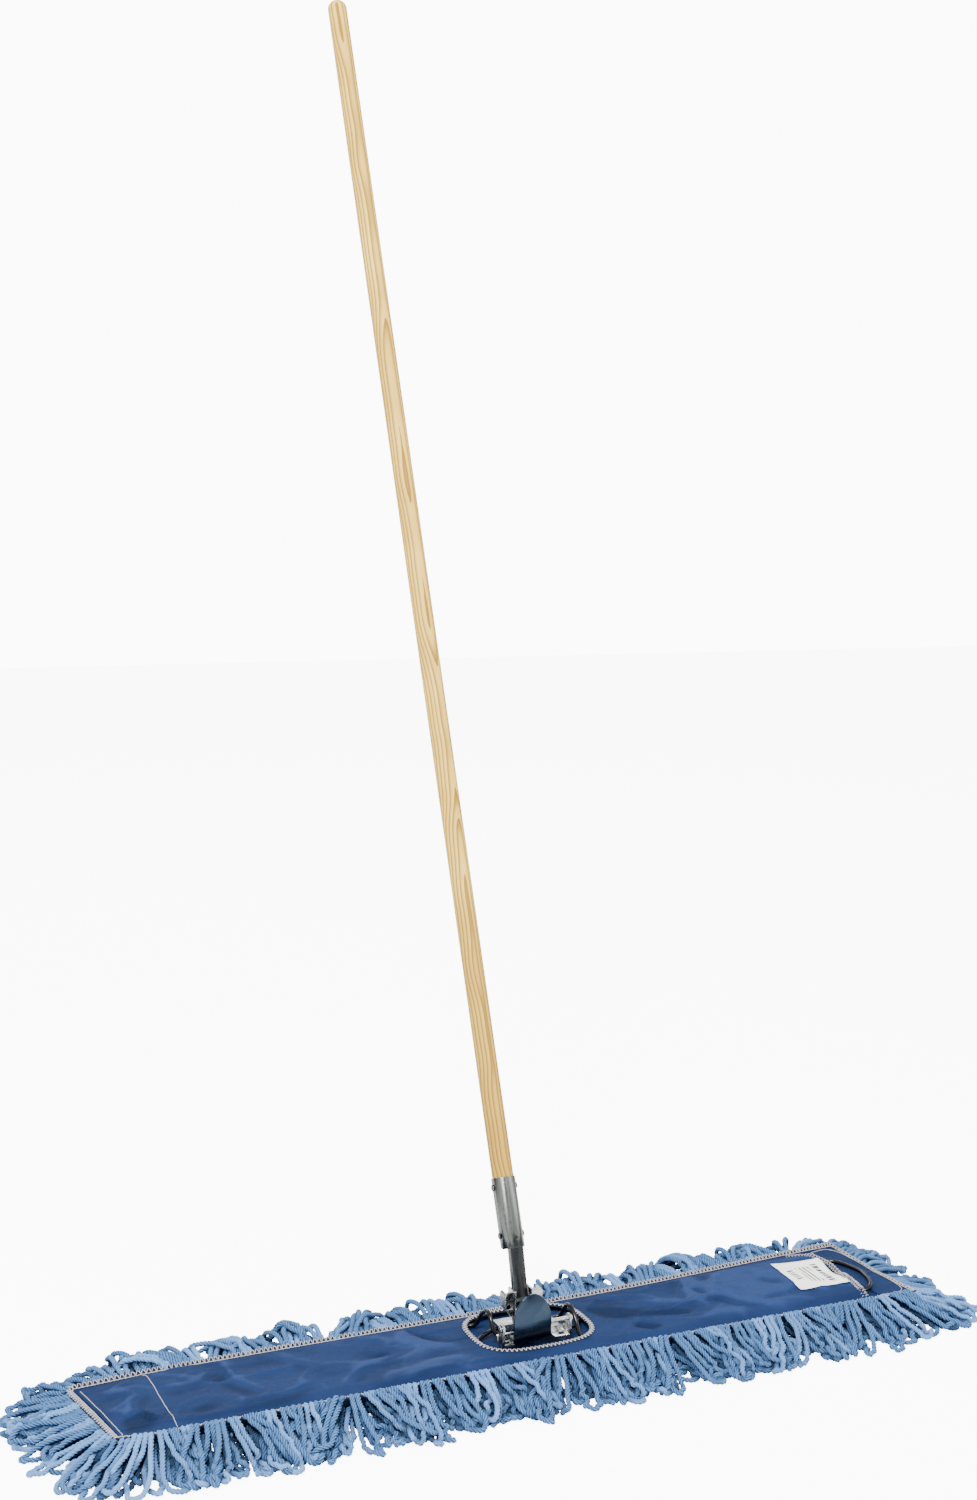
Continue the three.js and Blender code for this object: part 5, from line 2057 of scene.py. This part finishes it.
@dataclass
class Pole:
    """The round pine pole with its domed top, leaning back from the pivot."""

    finish: bpy.types.Material
    pivot: float = 0.066
    lean: float = math.radians(22.96)
    start: float = 0.067
    end: float = 1.591
    radius: float = 0.0119
    dome: float = 0.011
    sides: int = 72

    def build(self) -> bpy.types.Object:
        """Turn the pole, round its top, and lean it.

        Returns:
            The pole.
        """
        length = self.end - self.start
        bpy.ops.mesh.primitive_cylinder_add(
            vertices=self.sides, radius=self.radius, depth=length, location=(0, 0, self.start + length / 2)
        )
        pole = bpy.context.object
        pole.name = "pole_turned"
        settle(pole)
        activate(pole)
        bpy.ops.object.mode_set(mode="EDIT")
        bpy.ops.mesh.select_all(action="DESELECT")
        shape = bmesh.from_edit_mesh(pole.data)
        for face in shape.faces:
            face.select_set(face.normal.z > 0.9)
        bmesh.update_edit_mesh(pole.data)
        bpy.ops.mesh.bevel(offset=self.dome, segments=9, profile=0.5, affect="EDGES")
        bpy.ops.object.mode_set(mode="OBJECT")
        lean = Matrix.Translation((0, 0, self.pivot)) @ Matrix.Rotation(-self.lean, 4, "X")
        pole.data.transform(lean)
        activate(pole)
        bpy.ops.object.shade_smooth_by_angle(angle=math.radians(35))
        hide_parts("handle_pole")
        return dress(pole, self.finish, Body.HANDLE)


def main() -> None:
    """Build the studio and then each sub-assembly of the mop."""
    logging.basicConfig(level=logging.INFO, format="%(name)s: %(message)s")
    Studio().build()
    effects = Effects()
    # The second colour of each yarn and thread finish is painted shade in its ply grooves.
    yarn = YarnFinish("blue_yarn", (0.093, 0.205, 0.425, 1), (0.010, 0.030, 0.085, 1)).build(effects)
    navy = ClothFinish("navy_cloth", (0.0105, 0.0250, 0.080, 1), (0.0065, 0.0170, 0.057, 1)).build(effects)
    white = YarnFinish("white_thread", (0.56, 0.54, 0.57, 1), (0.12, 0.11, 0.16, 1), 2.0, 0.0002)
    bed = YarnFinish("thread_bed", (0.026, 0.030, 0.055, 1), (0.008, 0.011, 0.026, 1), 9.0, 0.0003)
    white_thread, bed_thread = white.build(effects), bed.build(effects)
    zinc = SteelFinish("zinc_plate", (0.62, 0.63, 0.61, 1), (0.34, 0.35, 0.36, 1), 0.24, 0.14, 320.0).build(effects)
    galvanised = SteelFinish(
        "galvanised_steel", (0.175, 0.185, 0.175, 1), (0.042, 0.046, 0.048, 1), 0.25, 0.14, 300.0, drawn=True
    ).build(effects)
    # Dark blue steel: the coil's own blued finish, and on the foot lever a painted reflection of the navy cloth.
    spring = SteelFinish(
        "spring_steel", (0.038, 0.056, 0.084, 1), (0.026, 0.040, 0.064, 1), 0.24, 0.08, 60.0, 0.00001
    ).build(effects)
    coated = CoatedWireFinish().build(effects)
    outline, route = HeadOutline(), WireRoute()
    fringe = YarnFringe(outline).build(yarn)
    pile = YarnPile(outline).build(yarn)
    cover = PocketCover(outline, route)
    cover_cloth = cover.build(navy)
    backing_cloth, flap_cloth = BackingCloth(outline).build(navy)
    label = CareLabel(cover).build(LabelFinish().build(effects))
    stitches = {piece.name: piece for piece in Stitching(outline, cover, white_thread, bed_thread).build()}
    SteelParts(route, zinc, galvanised, spring, coated).build()
    lean = Pole.lean
    Pole(PineFinish().build(effects, np.array([0, math.sin(lean), math.cos(lean)]))).build()
    on_backing = [stitches.pop(name) for name in ("edge_bed", "edge_overlock", "edge_needle_line")]
    on_flap = [stitches.pop(name) for name in ("flap_seam", "flap_tack")]


if __name__ == "__main__":
    main()
